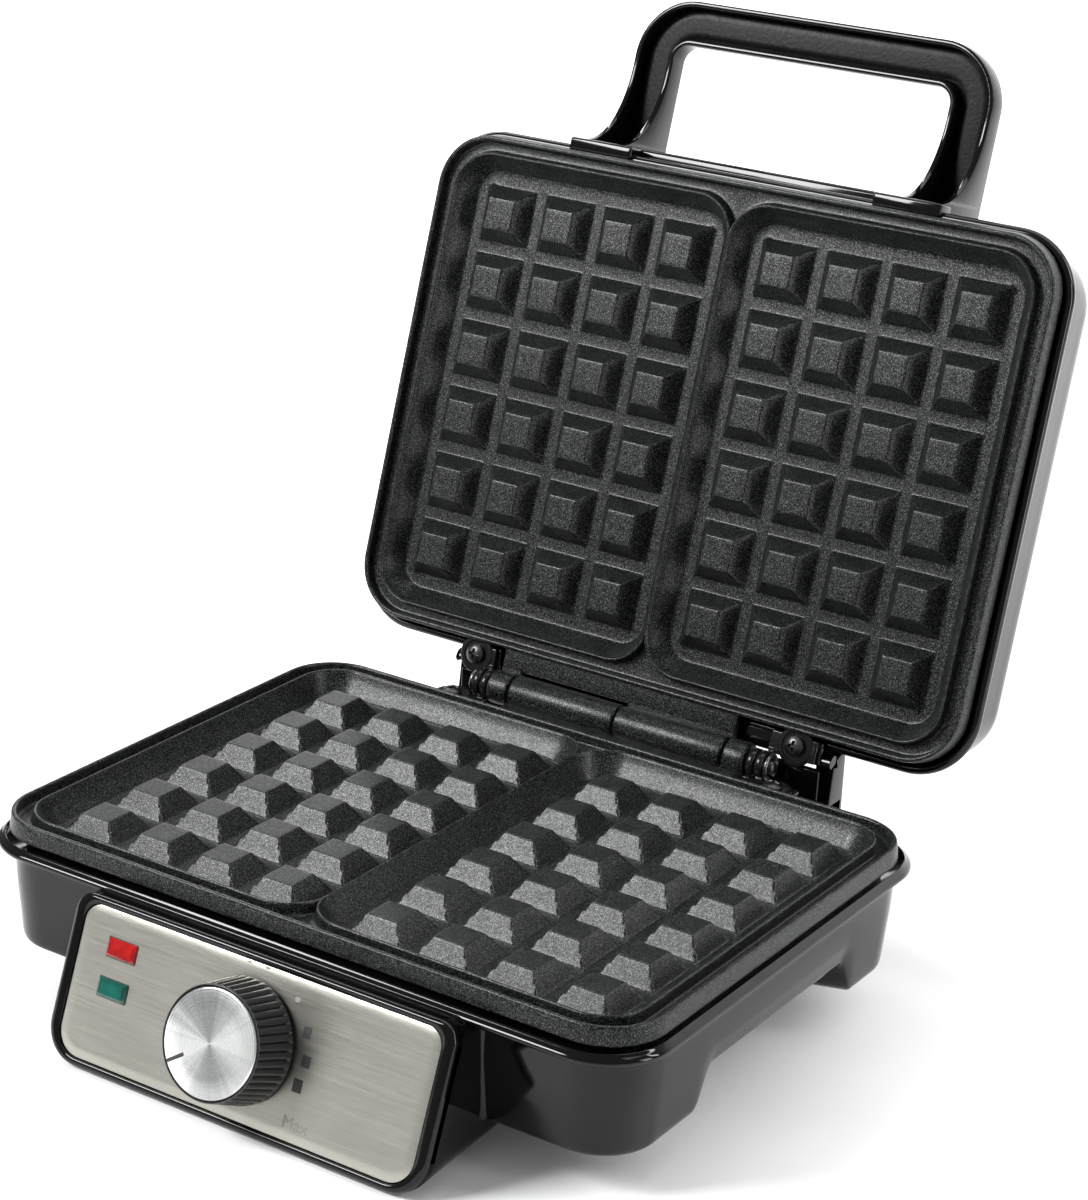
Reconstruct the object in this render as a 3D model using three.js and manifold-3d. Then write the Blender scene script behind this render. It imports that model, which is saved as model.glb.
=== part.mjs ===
// Double waffle maker, shown open: base with control console, lid with carrying handle, rotary thermostat.
// Millimetres, +Z up, +Y to the hinge, X along the hinge. The working frame has z = 0 on the rim of the
// lower plate and x = y = 0 at the middle of its stud pattern; the last lines move the origin to the
// bottom centre of the whole object. The lid is drawn closed and then turned open about the hinge pin.
import * as THREE from "three";
import * as BufferGeometryUtils from "three/addons/utils/BufferGeometryUtils.js";
import Module from "manifold-3d";

const wasm = await Module();
wasm.setup();

// ---------------------------------------------------------------- driving dimensions
const gap = 0.3;                 // clearance between pieces that sit against each other
const lidOpenAngle = 106.4;      // degrees from closed to the open stop

// cooking plates
const plateHalfX = 105.6;
const plateHalfY = 77.2;
const plateCorner = 17;
const plateSkirt = 5.4;          // depth of the outer edge wall
const plateBodyInset = 5.5;      // how far the lower casting is set in from the edge
const plateDepth = 11;
const rimWidth = 1.5;            // raised outer rim
const channelDepth = 3.4;        // overflow channel between the rim and the pocket lips
const channelWidthX = 4.4;
const channelWidthY = 3.6;
const lipWidth = 1.1;            // raised lip round each pocket
const ribWidth = 0.8;            // crest between the two pockets
const pocketDepth = 7.4;
const pocketDraft = 4.7;         // how far a pocket's wall leans in from lip to floor
const lipCorner = 12;
const studColumns = 4;
const studRows = 6;
const studPitch = 21.45;
const studTopHalf = 5.0;
const studBaseHalf = 8.9;
const studHeight = 5.8;

// hinge
const hingeY = 89.2;
const hingeZ = 0.3;
const barrelRadius = 5.3;
const barrelSeamX = -2;          // where the two long barrels meet
const barrelLength = 37.8;
const knuckleLength = 7.2;
const knuckleGap = 0.8;
const pinRadius = 2;
const pinOverhang = 8.4;
const eyeRadius = 4.4;
const eyeWidth = 2.4;
const bracketScrewX = 57;
const bracketScrewY = 81.6;
const bracketDrop = 2.9;         // top of the bracket's tab below the hinge axis
const bracketThick = 1.5;

// base shell
const baseFlangeHalfX = 108.8;
const baseFlangeHalfY = 82;
const baseCentreY = 0.8;
const flangeTop = 6.4;           // below the rim
const flangeThick = 3.2;
const flangeCorner = 20;
const baseWallOverhangX = 3.3;   // flange edge beyond the wall
const baseWallOverhangY = 4.7;
const baseWallDraft = 1.9;
const wall = 2.4;
const baseBottom = 38.5;         // lower edge of the moulded feet, below the rim
const skirtEdge = 27;            // lower edge of the walls between the feet
const standHeight = 51;          // rim above the table
const sideRecessFront = -35.2;
const sideRecessRear = 42.2;
const rearRecessHalf = 62;
const footRamp = 5.6;            // slope length of each foot's end

// lid shell
const lidFlangeHalfX = 108.8;
const lidFlangeHalfY = 80.2;
const lidCentreY = 0.8;
const lidTop = 40;               // above the rim of the lower plate, closed
const lidWallOverhang = 2.8;

// handle
const handleHalfX = 61.7;
const handleBar = 13.9;          // width of the legs and of the grip bar
const handleReach = 130.3;        // front of the grip, from the plate's middle
const handleRoot = 82;           // front face of the handle's base
const handleTop = 39.5;
const handleThick = 9.4;
const handleRootLow = 10;
const handleWall = 1.8;
const handleChannel = 6.4;
const handleCorner = 19;
const handleSweep = 27;          // length of the curve from the root to the level grip

// control console
const consoleHalfX = 62.2;
const consoleTilt = 70;          // degrees of the face from horizontal
const faceY = -94.5;
const faceZ = -28.3;
const faceHalf = 23.2;
const consoleTop = 6.2;          // below the rim
const consoleBottom = 50.2;
const consoleBackTop = 78.4;
const consoleTail = 66;          // rear end of the console's underside, below the shell's front wall
const consoleWall = 2.6;
const bezelProud = 0.6;
const panelHalfX = 58.5;
const panelHalfT = 20.8;
const panelThick = 1;
const panelCorner = 7;
const lensHalfX = 4.85;
const lensHalfT = 2.55;
const lensX = -44.3;
const lensSpacing = 11;

// knob
const knobRadius = 16.8;
const knobTopRadius = 15.3;
const knobHeight = 14.6;
const capRadius = 14.6;
const capThick = 2;
const knobLift = 1;
const shaftRadius = 3;
const shaftHole = 3.8;

// heaters, trays and feet
const elementRadius = 3.3;
const elementHalfX = 74;
const elementHalfY = 46;
const reflectorDepth = 19.6;
const reflectorSheet = 0.6;
const footX = 66;
const footY = 42;
const footRadius = 9;
const padHeight = 6;
const coverThick = 1.6;

// ---------------------------------------------------------------- colours and finishes
const finish = {
  gloss: { color: 0x0b0b0c, roughness: 0.12, metalness: 0 },
  satin: { color: 0x2a2b2c, roughness: 0.4, metalness: 0 },
  coating: { color: 0x26282a, roughness: 0.5, metalness: 0.2 },
  steel: { color: 0xc9c8c2, roughness: 0.3, metalness: 1 },
  aluminium: { color: 0xdcdde0, roughness: 0.25, metalness: 1 },
  screw: { color: 0x3b3c3e, roughness: 0.35, metalness: 1 },
  rubber: { color: 0x161616, roughness: 0.8, metalness: 0 },
  red: { color: 0xc01010, roughness: 0.15, metalness: 0 },
  green: { color: 0x0c7f72, roughness: 0.15, metalness: 0 },
  glass: { color: 0xd8dad6, roughness: 0.1, metalness: 0 },
  ceramic: { color: 0xd9d3c4, roughness: 0.6, metalness: 0 },
};

// ---------------------------------------------------------------- geometry helpers
const rad = THREE.MathUtils.degToRad;

function solid(geometry) {
  const bare = geometry.clone();
  bare.deleteAttribute("normal");
  bare.deleteAttribute("uv");
  const merged = BufferGeometryUtils.mergeVertices(bare, 1e-4);
  return new wasm.Manifold(new wasm.Mesh({
    numProp: 3,
    vertProperties: Float32Array.from(merged.attributes.position.array),
    triVerts: Uint32Array.from(merged.index.array),
  }));
}

function mesh(name, body, look) {
  const out = body.getMesh();
  const geometry = new THREE.BufferGeometry();
  geometry.setAttribute("position", new THREE.BufferAttribute(Float32Array.from(out.vertProperties), 3));
  geometry.setIndex(new THREE.BufferAttribute(Uint32Array.from(out.triVerts), 1));
  geometry.computeVertexNormals();
  const result = new THREE.Mesh(geometry, new THREE.MeshStandardMaterial(look));
  result.name = name;
  return result;
}

function box(x0, x1, y0, y1, z0, z1) {
  const geometry = new THREE.BoxGeometry(x1 - x0, y1 - y0, z1 - z0);
  geometry.translate((x0 + x1) / 2, (y0 + y1) / 2, (z0 + z1) / 2);
  return solid(geometry);
}

function roundedRect(halfX, halfY, radius, cx = 0, cy = 0) {
  const shape = new THREE.Shape();
  shape.absarc(cx + halfX - radius, cy + halfY - radius, radius, 0, Math.PI / 2);
  shape.absarc(cx - halfX + radius, cy + halfY - radius, radius, Math.PI / 2, Math.PI);
  shape.absarc(cx - halfX + radius, cy - halfY + radius, radius, Math.PI, 1.5 * Math.PI);
  shape.absarc(cx + halfX - radius, cy - halfY + radius, radius, 1.5 * Math.PI, 2 * Math.PI);
  return shape;
}

function prism(shape, z0, z1, curveSegments = 3) {
  const geometry = new THREE.ExtrudeGeometry(shape, { depth: z1 - z0, bevelEnabled: false, curveSegments });
  geometry.translate(0, 0, z0);
  return solid(geometry);
}

// A stack of rounded rectangles joined level to level. Each level: z, halfX, halfY, radius, cx, cy.
function loft(levels, steps = 6) {
  const points = [];
  const faces = [];
  const ringSize = 4 * (steps + 1);
  for (const { z, halfX, halfY, radius, cx = 0, cy = 0 } of levels) {
    for (let corner = 0; corner < 4; corner++) {
      const sx = corner === 0 || corner === 3 ? 1 : -1;
      const sy = corner < 2 ? 1 : -1;
      for (let i = 0; i <= steps; i++) {
        const angle = (corner + i / steps) * Math.PI / 2;
        points.push(
          cx + sx * (halfX - radius) + radius * Math.cos(angle),
          cy + sy * (halfY - radius) + radius * Math.sin(angle),
          z,
        );
      }
    }
  }
  for (let level = 0; level + 1 < levels.length; level++) {
    for (let i = 0; i < ringSize; i++) {
      const a = level * ringSize + i;
      const b = level * ringSize + (i + 1) % ringSize;
      faces.push(a, b, b + ringSize, a, b + ringSize, a + ringSize);
    }
  }
  const top = (levels.length - 1) * ringSize;
  for (let i = 1; i + 1 < ringSize; i++) {
    faces.push(0, i + 1, i);
    faces.push(top, top + i, top + i + 1);
  }
  const geometry = new THREE.BufferGeometry();
  geometry.setAttribute("position", new THREE.BufferAttribute(new Float32Array(points), 3));
  geometry.setIndex(faces);
  return solid(geometry);
}

// A closed outline in the YZ plane, carried along X from x0 to x1.
function sideProfile(points, x0, x1) {
  const shape = new THREE.Shape(points.map(([y, z]) => new THREE.Vector2(y, z)));
  const geometry = new THREE.ExtrudeGeometry(shape, { depth: x1 - x0, bevelEnabled: false });
  geometry.applyMatrix4(new THREE.Matrix4().set(0, 0, 1, x0, 1, 0, 0, 0, 0, 1, 0, 0, 0, 0, 0, 1));
  return solid(geometry);
}

function rodX(radius, x0, x1, y, z, segments = 24) {
  const geometry = new THREE.CylinderGeometry(radius, radius, x1 - x0, segments);
  geometry.rotateZ(Math.PI / 2);
  geometry.translate((x0 + x1) / 2, y, z);
  return solid(geometry);
}

function rodY(radius, y0, y1, x, z, segments = 20) {
  const geometry = new THREE.CylinderGeometry(radius, radius, y1 - y0, segments);
  geometry.translate(x, (y0 + y1) / 2, z);
  return solid(geometry);
}

function rodZ(radius, z0, z1, x, y, segments = 20, topRadius = radius) {
  const geometry = new THREE.CylinderGeometry(topRadius, radius, z1 - z0, segments);
  geometry.rotateX(Math.PI / 2);
  geometry.translate(x, y, (z0 + z1) / 2);
  return solid(geometry);
}

function union(bodies) {
  return bodies.reduce((whole, piece) => whole.add(piece));
}

// Mirrors a piece of the base up through the hinge axis, to make the lid's matching piece.
function mirrored(body) {
  return body.mirror([0, 0, 1]).translate([0, 0, 2 * hingeZ]);
}

// A pan-head screw with its head's underside at z = 0 and its thread going down.
function panScrew(headRadius, headHeight, threadRadius, length) {
  const profile = [
    [0, -length], [threadRadius, -length], [threadRadius, 0], [headRadius, 0],
    [headRadius, headHeight * 0.55], [headRadius * 0.8, headHeight], [0, headHeight],
  ].map(([r, z]) => new THREE.Vector2(r, z));
  const geometry = new THREE.LatheGeometry(profile, 12);
  geometry.rotateX(Math.PI / 2);
  const slot = headHeight * 0.5;
  return solid(geometry)
    .subtract(box(-headRadius * 0.55, headRadius * 0.55, -0.4, 0.4, slot, headHeight + 1))
    .subtract(box(-0.4, 0.4, -headRadius * 0.55, headRadius * 0.55, slot, headHeight + 1));
}

// ---------------------------------------------------------------- cooking plates
const pocketLipHalfX = (plateHalfX - rimWidth - channelWidthX - lipWidth - ribWidth / 2) / 2;
const pocketCentreX = ribWidth / 2 + pocketLipHalfX;
const pocketLipHalfY = plateHalfY - rimWidth - channelWidthY - lipWidth;
const studFirstX = pocketCentreX - studPitch * (studColumns - 1) / 2;
const studFirstY = -studPitch * (studRows - 1) / 2;

function cookingPlate() {
  const skirtRadius = plateCorner;
  const bodyHalfX = plateHalfX - plateBodyInset;
  const bodyHalfY = plateHalfY - plateBodyInset;
  let plate = loft([
    { z: -plateSkirt, halfX: plateHalfX + 0.5, halfY: plateHalfY + 0.5, radius: skirtRadius + 0.5 },
    { z: 0, halfX: plateHalfX, halfY: plateHalfY, radius: skirtRadius },
  ]).add(loft([
    { z: -plateDepth, halfX: bodyHalfX, halfY: bodyHalfY, radius: skirtRadius - plateBodyInset },
    { z: -plateSkirt + 1, halfX: bodyHalfX, halfY: bodyHalfY, radius: skirtRadius - plateBodyInset },
  ]));
  const channelOuter = prism(
    roundedRect(plateHalfX - rimWidth, plateHalfY - rimWidth, plateCorner - rimWidth), -channelDepth, 1);
  const lips = [-1, 1].map((side) => prism(
    roundedRect(pocketLipHalfX + lipWidth, pocketLipHalfY + lipWidth, lipCorner + lipWidth,
      side * pocketCentreX), -channelDepth - 1, 2));
  plate = plate.subtract(channelOuter.subtract(union(lips)));
  for (const side of [-1, 1]) {
    const slope = pocketDraft / pocketDepth;
    plate = plate.subtract(loft([
      { z: -pocketDepth, halfX: pocketLipHalfX - pocketDraft, halfY: pocketLipHalfY - pocketDraft,
        radius: lipCorner - pocketDraft, cx: side * pocketCentreX },
      { z: 1, halfX: pocketLipHalfX + slope, halfY: pocketLipHalfY + slope, radius: lipCorner + slope,
        cx: side * pocketCentreX },
    ]));
    for (let column = 0; column < studColumns; column++) {
      for (let row = 0; row < studRows; row++) {
        const x = side * (studFirstX + column * studPitch);
        const y = studFirstY + row * studPitch;
        plate = plate.add(stud(x, y));
      }
    }
  }
  return plate;
}

// One stud: a truncated pyramid that runs a little below the pocket floor.
function stud(x, y) {
  const sink = 0.5;
  const slope = (studBaseHalf - studTopHalf) / studHeight;
  const height = studHeight + sink;
  const bottomHalf = studBaseHalf + sink * slope;
  const geometry = new THREE.CylinderGeometry(studTopHalf * Math.SQRT2, bottomHalf * Math.SQRT2, height, 4);
  geometry.rotateY(Math.PI / 4);
  geometry.rotateX(Math.PI / 2);
  geometry.translate(x, y, -pocketDepth - sink + height / 2);
  return solid(geometry);
}

// The plate's hinge side: a web, a long barrel on one half and a short knuckle at the other end.
function plateHinge(barrelX0, barrelX1, knuckleX0, knuckleX1) {
  const webBottom = -plateSkirt + 1.2;
  const webTop = -1.6;
  const x0 = Math.min(barrelX0, knuckleX0);
  const x1 = Math.max(barrelX1, knuckleX1);
  const freeEdge = hingeY - barrelRadius - 0.8;
  return union([
    box(x0, x1, plateHalfY - 1, freeEdge, webBottom, webTop),
    box(barrelX0, barrelX1, freeEdge - 1, hingeY - 2, webBottom, webTop),
    box(knuckleX0, knuckleX1, freeEdge - 1, hingeY - 2, webBottom, webTop),
    rodX(barrelRadius, barrelX0, barrelX1, hingeY, hingeZ),
    rodX(barrelRadius, knuckleX0, knuckleX1, hingeY, hingeZ),
  ]).subtract(rodX(pinRadius + 0.25, -100, 100, hingeY, hingeZ, 20));
}

const leftBarrelX0 = barrelSeamX - knuckleGap / 4 - barrelLength;
const leftBarrelX1 = barrelSeamX - knuckleGap / 4;
const rightBarrelX0 = barrelSeamX + knuckleGap / 4;
const rightBarrelX1 = barrelSeamX + knuckleGap / 4 + barrelLength;
const leftKnuckleX1 = leftBarrelX0 - knuckleGap;
const leftKnuckleX0 = leftKnuckleX1 - knuckleLength;
const rightKnuckleX0 = rightBarrelX1 + knuckleGap;
const rightKnuckleX1 = rightKnuckleX0 + knuckleLength;

const plateScrewX = 50;
const plateBossRadius = 4;

function plateBosses() {
  return union([-1, 1].map((side) => rodZ(plateBossRadius, -reflectorDepth + gap, -plateDepth + 1,
    side * plateScrewX, 0)
    .subtract(rodZ(1.9, -reflectorDepth - 1, -plateDepth - 1, side * plateScrewX, 0))));
}

const lowerPlateBody = cookingPlate()
  .add(plateHinge(leftBarrelX0, leftBarrelX1, rightKnuckleX0, rightKnuckleX1))
  .add(plateBosses());
const upperPlateBody = mirrored(cookingPlate()
  .add(plateHinge(rightBarrelX0, rightBarrelX1, leftKnuckleX0, leftKnuckleX1))
  .add(plateBosses()));

// ---------------------------------------------------------------- heaters and reflectors
// Tubular element: a rounded loop under the plate, open at the hinge side where its ends turn in.
function heatingElement() {
  const z = -plateDepth - gap - elementRadius;
  const turn = 22;
  const end = 12;
  const path = new THREE.CurvePath();
  const point = (x, y) => new THREE.Vector3(x, y, z);
  const corner = (cx, cy, from) => {
    const arc = new THREE.CatmullRomCurve3(Array.from({ length: 7 }, (_, i) => {
      const angle = from + i / 6 * Math.PI / 2;
      return point(cx + turn * Math.cos(angle), cy + turn * Math.sin(angle));
    }));
    return arc.getPoints(6);
  };
  const cx = elementHalfX - turn;
  const cy = elementHalfY - turn;
  const route = [
    point(-end, elementHalfY),
    ...corner(-cx, cy, Math.PI / 2),
    ...corner(-cx, -cy, Math.PI),
    ...corner(cx, -cy, 1.5 * Math.PI),
    ...corner(cx, cy, 0),
    point(end, elementHalfY),
  ];
  for (let i = 0; i + 1 < route.length; i++) {
    path.add(new THREE.LineCurve3(route[i], route[i + 1]));
  }
  const section = new THREE.Shape();
  section.absarc(0, 0, elementRadius, 0, 2 * Math.PI);
  const geometry = new THREE.ExtrudeGeometry(section, {
    steps: 36, bevelEnabled: false, curveSegments: 5, extrudePath: path,
  });
  return solid(geometry);
}

function reflectorTray() {
  const halfX = plateHalfX - 8.6;
  const halfY = plateHalfY - 8.6;
  const lip = 3;
  const top = -plateDepth - 1.2;
  const tray = (z0, z1, inset) => loft([
    { z: z0, halfX: halfX - 4 - inset, halfY: halfY - 4 - inset, radius: 9 - inset },
    { z: z1, halfX: halfX - inset, halfY: halfY - inset, radius: 12 - inset },
  ]);
  const rim = prism(roundedRect(halfX + lip, halfY + lip, 12 + lip), top - reflectorSheet, top)
    .subtract(prism(roundedRect(halfX - 1, halfY - 1, 11), top - 2, top + 1));
  let body = tray(-reflectorDepth - reflectorSheet, top, 0)
    .subtract(tray(-reflectorDepth, top + 0.01, reflectorSheet))
    .add(rim);
  for (const side of [-1, 1]) {
    body = body.subtract(rodZ(1.9, -reflectorDepth - 3, -reflectorDepth + 1, side * plateScrewX, 0));
  }
  return body;
}

function plateScrew(side) {
  return panScrew(3, 1.6, 1.6, 6.5).rotate([180, 0, 0])
    .translate([side * plateScrewX, 0, -reflectorDepth - reflectorSheet - 0.05]);
}

// ---------------------------------------------------------------- base shell
const baseWallHalfX = baseFlangeHalfX - baseWallOverhangX;
const baseWallHalfY = baseFlangeHalfY - baseWallOverhangY;
const wallCorner = flangeCorner - 2;
const flangeBottom = -flangeTop - flangeThick;

function baseLevels(inset, bottom, top) {
  return [
    { z: bottom, halfX: baseWallHalfX - baseWallDraft - inset, halfY: baseWallHalfY - baseWallDraft - inset,
      radius: wallCorner - inset, cy: baseCentreY },
    { z: top, halfX: baseWallHalfX - inset, halfY: baseWallHalfY - inset, radius: wallCorner - inset,
      cy: baseCentreY },
  ];
}

function flange(halfX, halfY, cy, z0, z1) {
  const edge = 1;
  return loft([
    { z: z0, halfX: halfX - edge, halfY: halfY - edge, radius: flangeCorner - edge, cy },
    { z: z0 + edge, halfX, halfY, radius: flangeCorner, cy },
    { z: z1 - edge, halfX, halfY, radius: flangeCorner, cy },
    { z: z1, halfX: halfX - edge, halfY: halfY - edge, radius: flangeCorner - edge, cy },
  ]);
}

// Hinge support at one end: shelf under the bracket and the rounded post that stops the open lid.
const postX0 = 58.6;
const postX1 = 67;
const postY = 101;
const postHalfY = 3.7;
const postTop = 5;
const shelfTop = hingeZ - bracketDrop - bracketThick - 0.1;
const shelfFront = plateHalfY + 1.2;
const shelfHalfX = 6.5;
const bracketHole = 1.9;

function hingeSupport(side) {
  const wallY = baseCentreY + baseWallHalfY;
  const shelf = box(bracketScrewX - shelfHalfX, postX1, shelfFront, bracketScrewY + 4.2, -17, shelfTop);
  const root = box(bracketScrewX - shelfHalfX, postX1, wallY - wall + 0.2, shelfFront + 1, -17, flangeBottom + 1);
  const arm = box(postX0, postX1, bracketScrewY, postY + postHalfY, -17, -9.5);
  const post = box(postX0, postX1, postY - postHalfY, postY + postHalfY, -17, postTop - postHalfY)
    .add(rodX(postHalfY, postX0, postX1, postY, postTop - postHalfY, 24));
  const body = union([shelf, root, arm, post]);
  return side > 0 ? body : body.mirror([1, 0, 0]);
}

// The wall is cut away between the moulded feet, with sloped foot ends.
function footRecess(from, to) {
  const low = -baseBottom - 1;
  return [[from - footRamp / 2, low], [to + footRamp / 2, low], [to - footRamp / 2, -skirtEdge],
    [from + footRamp / 2, -skirtEdge]];
}

const coverTop = -skirtEdge + coverThick + 1;
const coverBottom = coverTop - coverThick;
const glandX = 30;
const glandZ = -17.7;
const glandRadius = 4.6;

function baseShell() {
  const outer = loft(baseLevels(0, -baseBottom, flangeBottom + 0.5))
    .add(flange(baseFlangeHalfX, baseFlangeHalfY, baseCentreY, flangeBottom, -flangeTop));
  const mouth = { halfX: baseWallHalfX - wall, halfY: baseWallHalfY - wall, radius: wallCorner - wall,
    cy: baseCentreY };
  const cavity = loft(baseLevels(wall, -baseBottom - 1, flangeBottom))
    .add(loft([{ z: flangeBottom - 0.5, ...mouth }, { z: 0, ...mouth }]));
  let body = outer.subtract(cavity);
  body = body.subtract(box(-consoleHalfX - gap, consoleHalfX + gap, -200, -consoleBackTop + gap,
    flangeBottom - 1, 0));
  body = body.subtract(sideProfile(footRecess(sideRecessFront, sideRecessRear), -200, 200));
  const rear = solid(new THREE.ExtrudeGeometry(
    new THREE.Shape(footRecess(-rearRecessHalf, rearRecessHalf).map(([x, z]) => new THREE.Vector2(x, z))),
    { depth: 60, bevelEnabled: false }).rotateX(Math.PI / 2).translate(0, 120, 0));
  body = body.subtract(rear);
  body = body.subtract(box(-50, 50, -90, -60, -37, -14));
  body = body.add(hingeSupport(1)).add(hingeSupport(-1));
  for (const side of [-1, 1]) {
    body = body.subtract(rodZ(bracketHole, shelfTop - 9, 5, side * bracketScrewX, bracketScrewY, 12));
  }
  body = body.subtract(rodY(glandRadius + gap / 2, 60, 100, glandX, glandZ));
  return body;
}

function bottomCover() {
  const inset = wall + 0.5;
  let body = loft([
    { z: coverBottom, halfX: baseWallHalfX - baseWallDraft - inset, halfY: baseWallHalfY - baseWallDraft - inset,
      radius: wallCorner - inset, cy: baseCentreY },
    { z: coverTop, halfX: baseWallHalfX - baseWallDraft - inset, halfY: baseWallHalfY - baseWallDraft - inset,
      radius: wallCorner - inset, cy: baseCentreY },
  ]);
  for (const sx of [-1, 1]) {
    for (const sy of [-1, 1]) {
      const x = sx * footX;
      const y = baseCentreY + sy * footY;
      body = body.add(rodZ(footRadius, -standHeight + padHeight, coverBottom + 0.5, x, y, 16, footRadius + 1.5));
      body = body.subtract(rodZ(2.4, -standHeight + padHeight - 1, -standHeight + padHeight + 5, x, y, 12));
      const screw = coverScrewPlace(sx, sy);
      body = body.subtract(rodZ(1.9, coverBottom - 1, coverTop + 1, screw.x, screw.y));
    }
  }
  return body;
}

function footPad(sx, sy) {
  const top = -standHeight + padHeight - gap;
  return rodZ(footRadius - 1.5, -standHeight, top, 0, 0, 16, footRadius - 0.6)
    .add(rodZ(2, top - 1, top + 4, 0, 0, 12))
    .translate([sx * footX, baseCentreY + sy * footY, 0]);
}

function coverScrewPlace(sx, sy) {
  return { x: sx * 90, y: baseCentreY + sy * 62 };
}

function coverScrew(sx, sy) {
  const place = coverScrewPlace(sx, sy);
  return panScrew(3, 1.6, 1.6, 5.5).rotate([180, 0, 0]).translate([place.x, place.y, coverBottom - 0.05]);
}

function cordGland() {
  const wallOuter = baseCentreY + baseWallHalfY;
  return union([
    rodY(glandRadius, wallOuter - 6, wallOuter + 3, glandX, glandZ),
    rodY(glandRadius + 1.4, wallOuter + 0.4, wallOuter + 3, glandX, glandZ),
    rodY(glandRadius + 1.4, wallOuter - 6, wallOuter - 4, glandX, glandZ),
  ]).subtract(rodY(3, wallOuter - 10, wallOuter + 10, glandX, glandZ));
}

// ---------------------------------------------------------------- lid shell and handle
const lidFlangeBottom = flangeTop + 2 * hingeZ;
const lidFlangeTop = lidFlangeBottom + flangeThick;

// Outer surface of the lid grown or shrunk by a margin, from the flange to the crown.
function lidOuter(margin, from = lidFlangeTop - 0.5) {
  const halfX = lidFlangeHalfX - lidWallOverhang + margin;
  const halfY = lidFlangeHalfY - lidWallOverhang + margin;
  const level = (z, inset, round) => ({ z, halfX: halfX - inset, halfY: halfY - inset,
    radius: Math.max(round + margin, 2), cy: lidCentreY });
  return loft([
    level(from, 0, wallCorner),
    level(lidTop - 15, 0.8, wallCorner),
    level(lidTop - 8.5 + margin, 2.4, wallCorner),
    level(lidTop - 4 + margin, 5.8, wallCorner),
    level(lidTop - 1.4 + margin, 10.6, wallCorner - 2),
    level(lidTop - 0.3 + margin, 16, wallCorner - 4),
    level(lidTop + margin, 22, wallCorner - 6),
  ]);
}

const handleScrewX = 54;
const handleScrewZ = 24;

function lidShell() {
  let body = lidOuter(0).add(flange(lidFlangeHalfX, lidFlangeHalfY, lidCentreY, lidFlangeBottom, lidFlangeTop));
  body = body.subtract(lidOuter(-wall, lidFlangeTop - 1));
  const mouth = { halfX: lidFlangeHalfX - lidWallOverhang - wall, halfY: lidFlangeHalfY - lidWallOverhang - wall,
    radius: wallCorner - wall, cy: lidCentreY };
  body = body.subtract(loft([{ z: 0, ...mouth }, { z: lidFlangeTop, ...mouth }]));
  const shelf = box(bracketScrewX - shelfHalfX, bracketScrewX + shelfHalfX, shelfFront, bracketScrewY + 4.2,
    2 * hingeZ - shelfTop, lidFlangeBottom + 0.4);
  body = body.add(shelf).add(shelf.mirror([1, 0, 0]));
  for (const side of [-1, 1]) {
    body = body.subtract(rodZ(bracketHole, 0, 2 * hingeZ - shelfTop + 9, side * bracketScrewX, bracketScrewY));
    body = body.subtract(rodY(1.9, -100, -60, side * handleScrewX, handleScrewZ));
  }
  return body;
}

// Side outline of the handle: level grip above, and a lower edge that sweeps down to the root.
function handleSideOutline() {
  const steps = 10;
  const gripLow = handleTop - handleThick;
  const sweep = Array.from({ length: steps + 1 }, (_, i) => {
    const angle = i / steps * Math.PI / 2;
    return [-handleRoot - handleSweep * (1 - Math.cos(angle)),
      handleRootLow + (gripLow - handleRootLow) * Math.sin(angle)];
  });
  const edge = 1.6;
  return [
    [-handleRoot + 20, handleRootLow], ...sweep, [-handleReach + edge, gripLow], [-handleReach, gripLow + edge],
    [-handleReach, handleTop - 2 * edge], [-handleReach + 2 * edge, handleTop], [-handleRoot + 20, handleTop],
  ];
}

// Plan outline of the handle's hoop between two insets from its outer and inner edges.
function handleHoop(outerInset, innerInset, rear) {
  const outer = new THREE.Shape();
  const x = handleHalfX - outerInset;
  const front = -handleReach + outerInset;
  const radius = handleCorner - outerInset;
  outer.moveTo(-x, rear);
  outer.lineTo(-x, front + radius);
  outer.absarc(-x + radius, front + radius, radius, Math.PI, 1.5 * Math.PI);
  outer.absarc(x - radius, front + radius, radius, 1.5 * Math.PI, 2 * Math.PI);
  outer.lineTo(x, rear);
  const xi = handleHalfX - handleBar + innerInset;
  const frontInner = -handleReach + handleBar - innerInset;
  const inner = 8 + innerInset;
  outer.lineTo(xi, rear);
  outer.absarc(xi - inner, frontInner + inner, inner, 0, -Math.PI / 2, true);
  outer.absarc(-xi + inner, frontInner + inner, inner, 1.5 * Math.PI, Math.PI, true);
  outer.lineTo(-xi, rear);
  outer.closePath();
  return outer;
}

function handleShell() {
  const hoop = prism(handleHoop(0, 0, -handleRoot + 3), handleRootLow - 1, handleTop + 1, 8)
    .intersect(sideProfile(handleSideOutline(), -100, 100));
  const channel = prism(handleHoop(handleWall, handleWall, -handleRoot - 2), 0, handleTop - handleThick + handleChannel, 8);
  const bridge = box(-handleHalfX, handleHalfX, -handleRoot, -lidFlangeHalfY + lidWallOverhang + 12,
    lidFlangeTop + 2, handleTop);
  const blocks = [-1, 1].map((side) => box(Math.min(side * 41.5, side * 63.8), Math.max(side * 41.5, side * 63.8),
    -handleRoot + 0.8, -lidFlangeHalfY + lidCentreY - gap, 4, lidFlangeTop + 2.4));
  let body = hoop.subtract(channel).add(bridge.subtract(lidOuter(gap))).add(union(blocks));
  for (const side of [-1, 1]) {
    body = body.subtract(rodY(1.4, -handleRoot + 1.5, -60, side * handleScrewX, handleScrewZ));
  }
  return body;
}

function handleGripCover() {
  const inset = handleWall + gap;
  const top = handleTop - handleThick + handleChannel - gap;
  return prism(handleHoop(inset, inset, -handleRoot - 2 - gap), top - 1.6, top, 8);
}

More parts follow.
